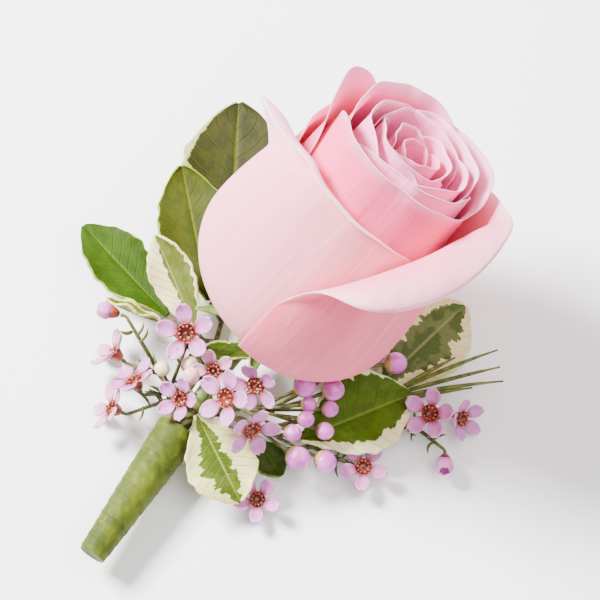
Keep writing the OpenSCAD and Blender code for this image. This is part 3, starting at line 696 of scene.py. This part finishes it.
def crepe_painted_shade_pattern():
    """Waxed crepe: green with darker patches painted as the shade of folds, paler ribs painted as a
    highlight, and fine lengthwise creases.
    """
    tree, take, end = group("crepe_painted_shade", {"Light": (108, 118, 30), "Body": (86, 98, 12), "Dark": (60, 72, 8)})
    where = own_place(tree)
    creases = noise(tree, stretched(tree, where, (900.0, 700.0, 900.0)), 1.0, detail=5.0)
    patches = noise(tree, stretched(tree, where, (160.0, 240.0, 160.0)), 1.0, detail=2.0)
    # Painted shade: the Dark colour in patches where folds would lie in shade
    body = mix(tree, blend(tree, patches, 0.35, 0.7), take["Dark"], take["Body"])
    # Painted highlight: the Light colour on the ribs, where the creases also rise in the relief
    return give(tree, end, mix(tree, blend(tree, creases, 0.55, 0.85), body, take["Light"]), creases)


rings = tape_rings()
wall_share = (mouth_r - tape_wall) / mouth_r

# Columns: share of the radius, shift along y
CUT_STEPS = [(0.3, 0.0002), (0.75, 0.0001), (0.95, 0)]
MOUTH_STEPS = [(0.96, 0.0001), (wall_share, 0), (wall_share, -mouth_depth / 2), (wall_share, -mouth_depth),
               (0.3, -mouth_depth)]
cut_cap, mouth_cap = drawn_in(rings[0], CUT_STEPS), drawn_in(rings[-1], MOUTH_STEPS)
tape_shader = {"Roughness": 0.6, "Specular IOR Level": 0.2}
# The tape's colour holds painted shade in its folds and a painted highlight on its ribs
tape = finish("floral_tape", crepe_painted_shade_pattern(), {}, tape_shader, relief=0.00005)
piece("tape", [skin(np.concatenate([cut_cap, rings, mouth_cap]))], [tape], "tape_wrap")

# The pin
# One plain steel pin behind the taped stem, turned back on itself so that cloth fits under the stem.
# The CAD node stays and gets a bright metal finish.
steel = mottled_finish(
    "pin_steel", (206, 208, 210), (180, 183, 186), 2500.0, {"Metallic": 1.0, "Roughness": 0.28})
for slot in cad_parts["lapel_pin"].material_slots:
    slot.material = steel

# The leaves
# Pittosporum leaves: leathery, a little wavy at the margin, with a sunken midrib and cream margins or
# patches that differ from leaf to leaf.
leaf_len, leaf_t, stalk_r = 0.038, 0.0005, 0.0006
leaf_wave, midrib_sunk, midrib_w = 0.0005, 0.00022, 0.0005
leaf_cells = (40, 72)
leaf_waves, nicks, nick_waves = 13, (0.025, 0.02), (31, 53)

# Columns: name, foot, heading, rise, roll, length and width as shares, bend, cupping
LEAVES = [
    ("top", (-0.115, 0.36, -0.05), -30, -2, -4, 0.96, 0.6, 10, 0.06),
    ("mid", (-0.11, 0.275, -0.033), -44, 4, -6, 0.76, 0.38, 8, 0.1),
    ("far", (-0.16, 0.2, -0.025), -76, 2, 8, 0.68, 0.33, 4, 0.1),
    ("half", (-0.083, 0.19, 0.015), -56, 12, -12, 0.56, 0.24, 10, 0.12),
    ("edge", (-0.158, 0.172, 0.01), -108, 8, 60, 0.31, 0.17, 10, 0.15),
    ("under", (-0.06, 0.14, 0.036), 57, 2, -30, 0.33, 0.17, 0, 0.1),
    ("bottom", (0.025, 0.032, 0.06), 119, -14, 4, 0.52, 0.385, -18, 0.08),
    ("right", (0.215, 0.12, -0.01), 34, 2, 4, 0.64, 0.46, -4, 0.08),
    ("back", (0.28, 0.305, -0.045), 12, 2, 4, 0.68, 0.46, -8, 0.06),
    ("low", (0.14, 0.075, -0.023), 112, -10, 0, 0.23, 0.18, -10, 0.08),
]


def leaf_grid(length, width, bend, cup, seed):
    """A leaf's points, u across and v along: the half width follows a sine of v to a power, the blade
    bends on an arc, cups with u squared, sinks at its midrib, waves towards its margin and has two
    series of shallow nicks."""
    u, v = grid_lines(*leaf_cells)
    half = np.maximum(stalk_r, width / 2 * np.sin(np.radians(180 * v ** 1.25 * 0.985 + 1.5)) ** 0.75)
    k = np.radians(bend or 0.01)
    phase = np.random.default_rng(seed).uniform(0, 6.3, 4)
    edge = (1 + nicks[0] * np.sin(nick_waves[0] * v + phase[0])
            + nicks[1] * np.sin(nick_waves[1] * v + phase[1]))
    wave = leaf_wave * u * u * np.sin(leaf_waves * v + phase[2] + (u > 0) * phase[3])
    midrib = -midrib_sunk * np.exp(-((u * half / midrib_w) ** 2))
    z = length * (1 - np.cos(k * v)) / k + 2 * cup * u * u * half + wave + midrib
    return np.stack([u * half * edge, length * np.sin(k * v) / k + 0 * u, z], axis=-1)


def leaf_pattern():
    """A variegated leaf: a centre and a margin colour parted by a ragged line at a share of the width
    counted from a line that may lie off the midrib, patches, a pale midrib and faint side veins."""
    tree, take, end = group("leaf_pattern", {
        "Centre": (100, 116, 20), "Patch": (120, 134, 50), "Margin": (214, 216, 170),
        "Midrib": (150, 160, 80), "Line": 0.85, "Ragged": 0.2, "Shift": 0.0, "Patches": 0.5})
    uv, across, along = across_and_along(tree)
    signed = maths(tree, "SUBTRACT", maths(tree, "MULTIPLY", across, 2.0), 1.0)
    out = maths(tree, "ABSOLUTE", maths(tree, "SUBTRACT", signed, take["Shift"]))
    teeth = noise(tree, stretched(tree, uv, (2.0, 13.0, 1.0)), 1.0, detail=3.0)
    teeth = maths(tree, "MULTIPLY", maths(tree, "SUBTRACT", teeth, 0.5), take["Ragged"])
    reach = maths(tree, "ADD", out, maths(tree, "MULTIPLY", teeth, 2.0))
    margin = blend(tree, reach, take["Line"], maths(tree, "ADD", take["Line"], 0.035))
    spots = noise(tree, stretched(tree, uv, (3.0, 4.0, 1.0)), 1.6, detail=3.0)
    patches = maths(tree, "MULTIPLY", blend(tree, spots, 0.48, 0.56), take["Patches"])
    colour = mix(tree, patches, take["Centre"], take["Patch"])
    colour = mix(tree, margin, colour, take["Margin"])
    off_middle = maths(tree, "ABSOLUTE", signed)
    midrib = maths(tree, "SUBTRACT", 1.0, blend(tree, off_middle, 0.015, 0.06))
    slant = maths(tree, "SUBTRACT", maths(tree, "MULTIPLY", along, 11.0),
                  maths(tree, "MULTIPLY", off_middle, 2.2))
    side_veins = maths(tree, "SINE", maths(tree, "MULTIPLY", slant, 2 * math.pi))
    side_veins = blend(tree, side_veins, 0.86, 1.0)
    colour = mix(tree, maths(tree, "MULTIPLY", side_veins, 0.16), colour, take["Midrib"])
    colour = mix(tree, maths(tree, "MULTIPLY", midrib, 0.7), colour, take["Midrib"])
    grain = maths(tree, "MULTIPLY", noise(tree, own_place(tree), 1500.0), 0.35)
    return give(tree, end, colour, maths(tree, "SUBTRACT", grain, maths(tree, "MULTIPLY", side_veins, 0.5)))


leaf_look = leaf_pattern()
leaf_shader = {
    "Roughness": 0.58, "Specular IOR Level": 0.14, "Subsurface Weight": 0.08, "Subsurface Scale": 0.001,
}

# Each leaf's colours, place, raggedness and shift of the line, share of the patches, and tone of its slot
LEAF_SOCKETS = ("Centre", "Patch", "Margin", "Midrib", "Line", "Ragged", "Shift", "Patches")
LEAF_COLOURS = {
    "top": ((38, 42, 2), (50, 52, 4), (170, 172, 110), (82, 84, 16), 0.97, 0.2, 0.1, 0.7, "dark"),
    "mid": ((52, 62, 2), (66, 74, 4), (140, 152, 50), (100, 108, 22), 0.95, 0.1, 0, 0.6, "dark"),
    "far": ((44, 70, 2), (56, 82, 4), (140, 164, 60), (88, 112, 20), 0.96, 0.06, 0, 0.5, "green"),
    "half": ((92, 106, 40), (72, 88, 26), (220, 216, 156), (166, 166, 96), 0.5, 0.3, 0.35, 0.6, "cream"),
    "edge": ((84, 98, 20), (108, 118, 36), (204, 202, 120), (130, 134, 60), 0.7, 0.12, 0, 0.5, "green"),
    "under": ((64, 84, 12), (88, 102, 26), (186, 190, 108), (116, 126, 48), 0.84, 0.12, 0, 0.5, "green"),
    "bottom": ((72, 92, 16), (102, 118, 34), (226, 222, 150), (150, 154, 76), 0.34, 0.5, 0.1, 0.5, "cream"),
    "right": ((62, 88, 2), (80, 104, 8), (228, 226, 168), (112, 130, 40), 0.76, 0.28, -0.14, 0.5, "green"),
    "back": ((70, 90, 40), (100, 118, 66), (222, 220, 160), (138, 146, 92), 0.5, 0.5, 0, 0.8, "cream"),
    "low": ((40, 56, 4), (56, 72, 10), (100, 114, 40), (80, 92, 24), 0.9, 0.1, 0, 0.5, "dark"),
}

for number, (name, foot, heading_angle, rise, roll, length, width, bend, cup) in enumerate(LEAVES):
    *colours, tone = LEAF_COLOURS[name]
    look = finish("leaf_" + name, leaf_look, dict(zip(LEAF_SOCKETS, colours)), leaf_shader, relief=0.0002)
    blade = leaf_grid(length * leaf_len, width * leaf_len, bend, cup, number)
    blade = turned(turned(turned(blade, "y", roll), "x", rise), "z", -heading_angle) + place(foot)
    piece("leaf_" + name + "_blade", [sheet(blade, leaf_t)], [look], "leaf_" + name)

# The twigs
# Brown-green foliage twigs carry the leaves, and thin olive sprigs carry the florets and the buds;
# they run between the leaves into the mouth of the tape. Short needle leaves stand on the florets' stalks.
twig_r, floret_stalk_r, floret_d, bud_d = 0.00075, 0.00035, 0.012, 0.0044
mouth_ring, mouth_run, mouth_flare = 0.0028, 0.0016, 0.0001
branch_share = 0.85
cup_h = 0.215
stalk_straight, bud_stalk_sag = 0.0012, 0.0006
stalk_waist, stalk_swell = 0.9, 0.35
corner_reach = 0.0025
leaf_clear = 1.8 * petal_gap
twig_taper = (1.1, 0.8)
leaflet_len, leaflet_r, leaflets_each, leaflet_points = 0.0046, 0.00032, 4, 8

# Least and most of a needle leaf's place along its stalk and of its share of the length
leaflet_low, leaflet_high = (0.1, 0.7), (0.7, 1.1)

# Columns: twig, angle in the mouth or None for a branch, points, leaf that it ends at or None
TWIGS = [
    ("foliage_left", 190, ((-0.035, 0.045, -0.033), (-0.04, 0.18, -0.045), (-0.08, 0.3, -0.05)), "top"),
    ("foliage_left", None, ((-0.065, 0.255, -0.048),), "mid"),
    ("foliage_left", None, ((-0.039, 0.15, -0.042), (-0.1, 0.18, -0.031)), "far"),
    ("foliage_left", None, ((-0.05, 0.21, -0.046), (-0.065, 0.19, -0.012)), "half"),
    ("foliage_left", None, ((-0.07, 0.165, -0.036),), "edge"),
    ("foliage_left", None, ((-0.037, 0.11, -0.039), (-0.064, 0.13, 0.003)), "under"),
    ("foliage_right", 315, ((0.04, 0.036, -0.029), (0.14, 0.11, -0.037), (0.24, 0.22, -0.053)), "back"),
    ("foliage_right", None, ((0.12, 0.095, -0.0354),), "right"),
    ("foliage_right", None, ((0.09, 0.072, -0.033),), "low"),
    ("foliage_front", 113, ((-0.006, 0.026, 0.035), (0.004, 0.039, 0.046)), "bottom"),
    ("left", 148, ((-0.05, 0.06, 0.019), (-0.1, 0.08, -0.007), (-0.13, 0.1, -0.011)), None),
    ("middle", 78, ((0.034, 0.04, 0.025), (0.06, 0.09, 0.015), (0.14, 0.14, 0.005)), None),
    ("middle_low", None, ((0.052, 0.074, 0.017), (0.14, 0.096, -0.007)), None),
    ("bud_branch", None, ((0.128, 0.132, 0.0065), (0.175, 0.23, -0.013), (0.195, 0.275, 0.017)), None),
    ("right", 12, ((0.08, 0.034, -0.037), (0.2, 0.1, -0.06), (0.39, 0.29, -0.05)), None),
]

# Columns: name, twig, middle of the face, lean and heading of the face, size, closing, point of the twig
FLORETS = [
    ("front_left", "left", (-0.08, 0.155, 0.093), 20, 180, 1.0, 0, 2.2),
    ("left_high", "left", (-0.125, 0.03, 0.033), 45, -70, 0.9, 0, 1.9),
    ("left_low", "left", (-0.14, -0.032, -0.01), 55, -110, 0.85, 0, 1.7),
    ("left_pale", "left", (-0.205, 0.07, -0.017), 60, -90, 0.85, 10, 3),
    ("left_bell", "left", (-0.245, 0.125, 0.04), 75, -110, 0.7, 60, 3.5),
    ("left_dark", "left", (-0.016, 0.038, 0.073), 30, -150, 0.85, 15, 1.35),
    ("behind", "left", (0.005, 0.125, 0.07), 25, 170, 0.75, 0, 1.9),
    ("front_right", "middle", (0.1, 0.135, 0.107), 50, 175, 0.92, 0, 3.1),
    ("front_low", "middle", (0.07, 0.074, 0.132), 35, -150, 1.0, 0, 2.2),
    ("side", "middle", (0.138, 0.06, 0.081), 60, 120, 0.95, 0, 2.4),
    ("low", "right", (0.207, -0.027, -0.033), 15, 150, 0.8, 0, 2.3),
    ("right_high", "right", (0.408, 0.302, 0.013), 25, -160, 0.9, 0, 3.88),
    ("right_side", "right", (0.46, 0.34, -0.03), 50, 90, 0.8, 15, 4),
    ("right_bell", "right", (0.48, 0.245, -0.032), 60, 150, 0.75, 60, 3.95),
    ("right_low", "right", (0.349, 0.146, -0.031), 8, 150, 0.85, 0, 3.17),
]

# Columns: twig, middle, size, point of the twig
BUDS = [
    ("middle", (0.177, 0.194, 0.079), 1.0, 3.55),
    ("middle", (0.226, 0.223, 0.063), 1.0, 3.95),
    ("middle", (0.2, 0.173, 0.054), 0.7, 3.45),
    ("middle", (0.24, 0.19, 0.047), 0.75, 3.75),
    ("middle", (0.213, 0.143, 0.057), 0.75, 3.35),
    ("middle", (0.205, 0.107, 0.049), 0.8, 3.25),
    ("middle", (0.254, 0.15, 0.033), 0.8, 3.65),
    ("middle_low", (0.238, 0.076, 0.023), 1.1, 0.8),
    ("middle_low", (0.285, 0.104, 0.007), 1.0, 0.97),
    ("bud_branch", (0.246, 0.346, -0.001), 0.9, 1.85),
    ("bud_branch", (0.294, 0.352, 0.019), 1.0, 1.97),
    ("left", (-0.024, 0.086, 0.087), 0.8, 1.5),
    ("left", (-0.046, 0.112, 0.059), 0.75, 1.75),
    ("left", (-0.087, 0.075, 0.059), 0.7, 2.35),
]
leaf_feet = {row[0]: place(row[1]) for row in LEAVES}
twig_nodes = {
    "foliage_left": "foliage_twig_left", "foliage_right": "foliage_twig_right",
    "foliage_front": "foliage_twig_front", "left": "sprig_left", "middle": "sprig_middle",
    "middle_low": "sprig_middle", "bud_branch": "sprig_middle", "right": "sprig_right",
}
bud_nodes = {"middle": "buds_middle", "middle_low": "buds_middle", "bud_branch": "buds_right",
             "left": "buds_left"}


def twig_way(angle, points, leaf):
    """Points of a twig: its run in the mouth, the places that it passes, and the foot of its leaf."""
    way = [place(p) for p in points]
    if angle is not None:
        c, s = math.cos(math.radians(angle)), math.sin(math.radians(angle))
        ends = ((mouth_ring - mouth_flare, petal_gap - mouth_depth), (mouth_ring + mouth_flare, mouth_run))
        way = [hub + np.array([r * c, y, r * s]) for r, y in ends] + way
    if leaf:
        step = leaf_feet[leaf] - way[-1]
        way.append(leaf_feet[leaf] - unit(step) * (leaf_clear + leaf_t / 2))
    return way


ways = {twig: twig_way(angle, points, None) for twig, angle, points, _ in reversed(TWIGS)}


def on_twig(twig, at):
    """A point on a twig: 0 is its first point, 1.5 lies halfway between its second and third."""
    way = ways[twig]
    k = min(int(at), len(way) - 2)
    return way[k] + (way[k + 1] - way[k]) * (at - k)


def stalk(points):
    """A thin stalk through points, a little thicker at both ends."""
    path = rounded(points, stalk_straight)
    t = np.linspace(-1, 1, len(path))
    return tube(path, floret_stalk_r * (stalk_waist + stalk_swell * t ** 4), around=8)


def leaflets(start, end, seed):
    """Short needle leaves on a stalk: each starts at a seeded share of the way, bows outward from the
    stalk in a seeded direction that isn't downward, and tapers at both ends."""
    chance = np.random.default_rng(seed)
    way = unit(end - start)
    radii = leaflet_r * np.sin(np.pi * (0.2 + 0.75 * np.linspace(0, 1, leaflet_points)))
    skins = []
    for share, length in chance.uniform(leaflet_low, leaflet_high, (leaflets_each, 2)):
        out = np.cross(way, chance.normal(size=3))
        out = unit(out) * (1 if out[2] >= 0 else -1)
        root = start + (end - start) * share
        reach = leaflet_len * length
        tip = root + reach * (0.85 * out + 0.4 * way)
        path = arc_through(root, root + 0.55 * reach * out, tip, leaflet_points)
        skins.append(tube(path, radii, around=6))
    return skins


twig_skins = {}
leaflet_skins = {}
for twig, angle, points, leaf in TWIGS:
    node = twig_nodes[twig]
    thin = node.startswith("foliage") or twig == "bud_branch"
    radius = (stalk_r if thin else twig_r) * (branch_share if angle is None else 1)
    path = rounded(twig_way(angle, points, leaf), corner_reach)
    taper = radius * np.linspace(*twig_taper, len(path))
    twig_skins.setdefault(node, []).append(tube(path, taper))

for number, (name, twig, middle, lean, heading_angle, size, closing, at) in enumerate(FLORETS):
    node = twig_nodes[twig]
    axis = facing(lean, heading_angle)
    start, end = on_twig(twig, at), place(middle) - axis * (cup_h * size * floret_d + petal_gap)
    leaflet_skins.setdefault(node, []).extend(leaflets(start, end, number))
    twig_skins[node].append(stalk([start, end - axis * stalk_straight, end]))

bud_skins = {}
for twig, middle, size, at in BUDS:
    start, centre = on_twig(twig, at), place(middle)
    way = unit(centre - start)
    sagged = (start + centre) / 2 + np.array([0, 0, -bud_stalk_sag])
    twig_skins[twig_nodes[twig]].append(stalk([start, sagged, centre - way * bud_d * size / 2]))
    bud_skins.setdefault(bud_nodes[twig], []).append((centre, way, bud_d * size / 2))

bark = mottled_finish("twig_bark", (96, 88, 40), (64, 52, 24), 900.0, {"Roughness": 0.7}, relief=0.00015)
sprig_green = mottled_finish(
    "sprig_green", (92, 98, 36), (74, 66, 26), 800.0, {"Roughness": 0.6}, relief=0.0001)
needle_green = mottled_finish("needle_green", (92, 106, 34), (62, 78, 20), 700.0, green_shader)
for node, skins in twig_skins.items():
    if node in leaflet_skins:
        piece(node + "_stems", [joined(skins), joined(leaflet_skins[node])],
              [sprig_green, needle_green], node)
    else:
        piece(node + "_stems", [joined(skins)], [bark], node)

# The needle leaves
# Waxflower leaves: soft green needles that fan from one stalk, each bowed a little and drawn to a point.
needle_from, needle_root = 3.62, (0.325, 0.333, -0.023)
needle_r, needle_tip_r = 0.00045, 0.0002
needle_bow = 0.0012
needle_clear = 4 * petal_gap
needle_points = 20

# Columns: place of the tip, share of the stalk where the needle starts
NEEDLES = [
    ((0.387, 0.43, 0.013), 0.96),
    ((0.45, 0.49, 0.013), 0.9),
    ((0.472, 0.465, 0.003), 0.8),
    ((0.492, 0.446, -0.007), 0.7),
    ((0.447, 0.4, -0.007), 0.6),
]
root = place(needle_root)
from_twig = on_twig("right", needle_from)
stalk_start = from_twig + unit(root - from_twig) * (twig_r + needle_r + needle_clear)
needle_skins = [tube(np.linspace(stalk_start, root, 8), 1.1 * needle_r)]
for number, (tip, share) in enumerate(NEEDLES):
    start, tip = stalk_start + (root - stalk_start) * share, place(tip)
    bowed = (start + tip) / 2 + np.array([0, 0, needle_bow * (1 + number % 2)])
    t = np.linspace(0, 1, needle_points)
    radii = np.maximum(needle_r * np.sin(np.pi * (0.18 + 0.8 * t)) ** 0.6, needle_tip_r)
    needle_skins.append(tube(arc_through(start, bowed, tip, needle_points), radii))
piece("needle_leaves", [joined(needle_skins)], [needle_green], "needles")

# The buds
# Round waxflower buds: five closed petals that meet at the tip, each on a small green-brown cup.
bud_around, bud_points, bud_cup_points = 40, 24, 9
bud_polar, bud_cup_polar = (0.04, 0.96), (0.02, 0.36)


def bud(centre, way, radius):
    """A bud and its cup, turned from upright to its way: a ball with five shallow waves that are
    deepest halfway up, drawn to a low point, and a shell round its foot."""
    polar = np.linspace(*bud_polar, bud_points) * np.pi
    outline = np.stack([radius * np.sin(polar), -radius * np.cos(polar) * 1.04], axis=-1)
    ball = lathe(outline, bud_around, waves=5, depth=0.035)
    foot = np.linspace(*bud_cup_polar, bud_cup_points) * np.pi
    outer = np.stack([1.06 * radius * np.sin(foot), -1.08 * radius * np.cos(foot)], axis=-1)
    inner = np.stack([0.97 * radius * np.sin(foot[::-1]), -0.97 * radius * np.cos(foot[::-1])], axis=-1)
    cup = lathe(np.concatenate([outer, inner]), bud_around, waves=10, depth=0.02)
    turn = np.array(Vector((0, 0, 1)).rotation_difference(Vector(way)).to_matrix())
    return [(part[0] @ turn.T + centre, *part[1:]) for part in (ball, cup)]


bud_shader = {"Roughness": 0.38, "Specular IOR Level": 0.5, "Subsurface Weight": 0.25,
              "Subsurface Radius": (1.0, 0.5, 0.6), "Subsurface Scale": 0.001}
bud_pink = mottled_finish("bud_pink", (226, 120, 214), (190, 80, 170), 260.0, bud_shader)
bud_cream = mottled_finish("bud_cream", (236, 224, 176), (222, 168, 168), 240.0, bud_shader)
bud_cup = mottled_finish("bud_cup", (176, 150, 92), (150, 96, 78), 420.0, {"Roughness": 0.45})
for node, buds in bud_skins.items():
    balls, cups = zip(*(bud(*row) for row in buds))
    look, slot_name = (bud_cream, "bud_cream") if node == "buds_left" else (bud_pink, "bud_pink")
    piece(node + "_balls", [joined(balls), joined(cups)], [look, bud_cup], node)

# The florets
# Waxflower florets: a waxy red-brown cup, five round overlapping petals that spread from its rim, a
# ring of short red-brown stamens inside the rim and one style in the middle. The two closed ones are
# bells.
floret_hinge, floret_reach, floret_petal_r, floret_rise = 0.15, 0.185, 0.175, 12
floret_t, floret_petals, floret_around, petal_step = 0.00028, 5, 40, 0.00012
lift_step, floret_seed_step, floret_cells = 5, 11, (16, 18)
closed_from = 45
stamen_count, stamen_r = 10, 0.00016
stamen_rim, stamen_h, stamen_h_step = 0.135, 0.045, 0.012

# Outlines of radius and height as shares of the floret's diameter
CUP = [(0.004, -0.215), (0.05, -0.213), (0.085, -0.19), (0.12, -0.12), (0.15, -0.04), (0.172, 0.018),
       (0.168, 0.032), (0.15, 0.024), (0.128, -0.03), (0.1, -0.075), (0.05, -0.09), (0.004, -0.085)]
BELL = [(0.004, 0.0), (0.14, 0.0), (0.172, 0.03), (0.2, 0.08), (0.207, 0.14), (0.197, 0.2), (0.175, 0.26),
        (0.15, 0.31), (0.125, 0.335), (0.11, 0.325), (0.15, 0.24), (0.165, 0.14), (0.13, 0.05),
        (0.004, 0.03)]


def floret_petal(d, lift, seed):
    """A floret petal's points, t outward and u across: a round spoon whose half width follows a sine of
    t to a power, cupped with u squared, its tip lifted, with one low wave across."""
    r = floret_petal_r * d
    u, t = grid_lines(*floret_cells)
    half = r * (0.1 + 0.74 * np.sin(np.pi * (0.03 + 0.95 * t ** 1.1)) ** 0.6)
    phase = np.random.default_rng(seed).uniform(0, 6.3, 2)
    wave = 0.05 * r * np.sin(3 * u + phase[0]) * t
    z = 0.2 * r * u * u + 0.25 * r * (2 * t - 1) ** 2 * t + wave
    edge = 1 + 0.03 * np.sin(6 * u + phase[1]) * t
    points = np.stack([r * (2 * t * edge - 1), -u * half + 0 * t, z + 0 * u], axis=-1)
    raised = turned(points + np.array([floret_reach * d, 0, 0]), "y", -lift)
    return raised + np.array([floret_hinge * d, 0, 0])


def placed(part, axis, angle, shift=(0, 0, 0)):
    """A skin turned round an axis and moved."""
    return (turned(part[0], axis, angle) + np.asarray(shift), *part[1:])


def stamen(d, angle, rim, height):
    """One stamen: a thin thread from the rim inward and up, with a small round head."""
    path = np.array([[rim, 0, 0], [0.92 * rim, 0, 0.5 * height], [0.85 * rim, 0, height],
                     [0.84 * rim, 0, 1.2 * height], [0.83 * rim, 0, 1.45 * height]]) * d
    return placed(tube(path, stamen_r * np.array([0.7, 0.6, 0.9, 1.8, 0.9]), around=7), "z", angle)


def floret(number, d, closing):
    """The three skins of a floret in its own upright frame: petals, cup and stamens."""
    cup = lathe(np.array(CUP) * d, floret_around, waves=10, depth=0.025)
    if closing > closed_from:
        return [lathe(np.array(BELL) * d, floret_around, waves=5, depth=0.07), cup]
    spread_petals = []
    for k in range(floret_petals):
        lift = floret_rise + closing + lift_step * (k % 2)
        petal = sheet(floret_petal(d, lift, floret_seed_step * number + k), floret_t)
        spread_petals.append(placed(petal, "z", 360 / floret_petals * k, (0, 0, petal_step * (k % 3))))
    stamens = [
        stamen(d, 360 / stamen_count * (k + 0.5), stamen_rim, stamen_h + stamen_h_step * (k % 2))
        for k in range(stamen_count)]
    style = tube(np.array([[0, 0, -0.09], [0, 0, 0.0], [0, 0, 0.06], [0, 0, 0.075], [0, 0, 0.085]]) * d,
                 stamen_r * np.array([1.4, 1.1, 0.9, 1.7, 0.8]), around=8)
    return [joined(spread_petals), cup, joined(stamens + [style])]


floret_shader = {**bud_shader, "Roughness": 0.45, "Specular IOR Level": 0.45}
FLORET_COLOURS = {
    "floret_pink": ((196, 120, 182), (176, 92, 156), (214, 156, 200), (150, 56, 84), 0.46, 0.7, 0.4),
    "floret_pale": ((208, 146, 180), (194, 118, 160), (222, 180, 200), (160, 72, 84), 0.46, 0.7, 0.35),
}
floret_pink, floret_pale = [
    finish(name, petals, dict(zip(PETAL_SOCKETS, colours)), floret_shader, relief=0.0001)
    for name, colours in FLORET_COLOURS.items()]
floret_cup = mottled_finish(
    "floret_cup", (150, 62, 44), (88, 22, 20), 520.0,
    {"Roughness": 0.3, "Coat Weight": 0.2, "Coat Roughness": 0.3})
stamen_cream = mottled_finish("stamen_cream", (176, 104, 70), (124, 48, 36), 1200.0, {"Roughness": 0.6})
PALE = ("left_pale", "left_low", "behind")
for number, (name, twig, middle, lean, heading_angle, size, closing, at) in enumerate(FLORETS):
    parts = [placed(placed(part, "y", lean), "z", 90 - heading_angle, place(middle))
             for part in floret(number, size * floret_d, closing)]
    looks = [floret_pale if name in PALE else floret_pink, floret_cup, stamen_cream][:len(parts)]
    piece("floret_" + name + "_flower", parts, looks, "floret_" + name)
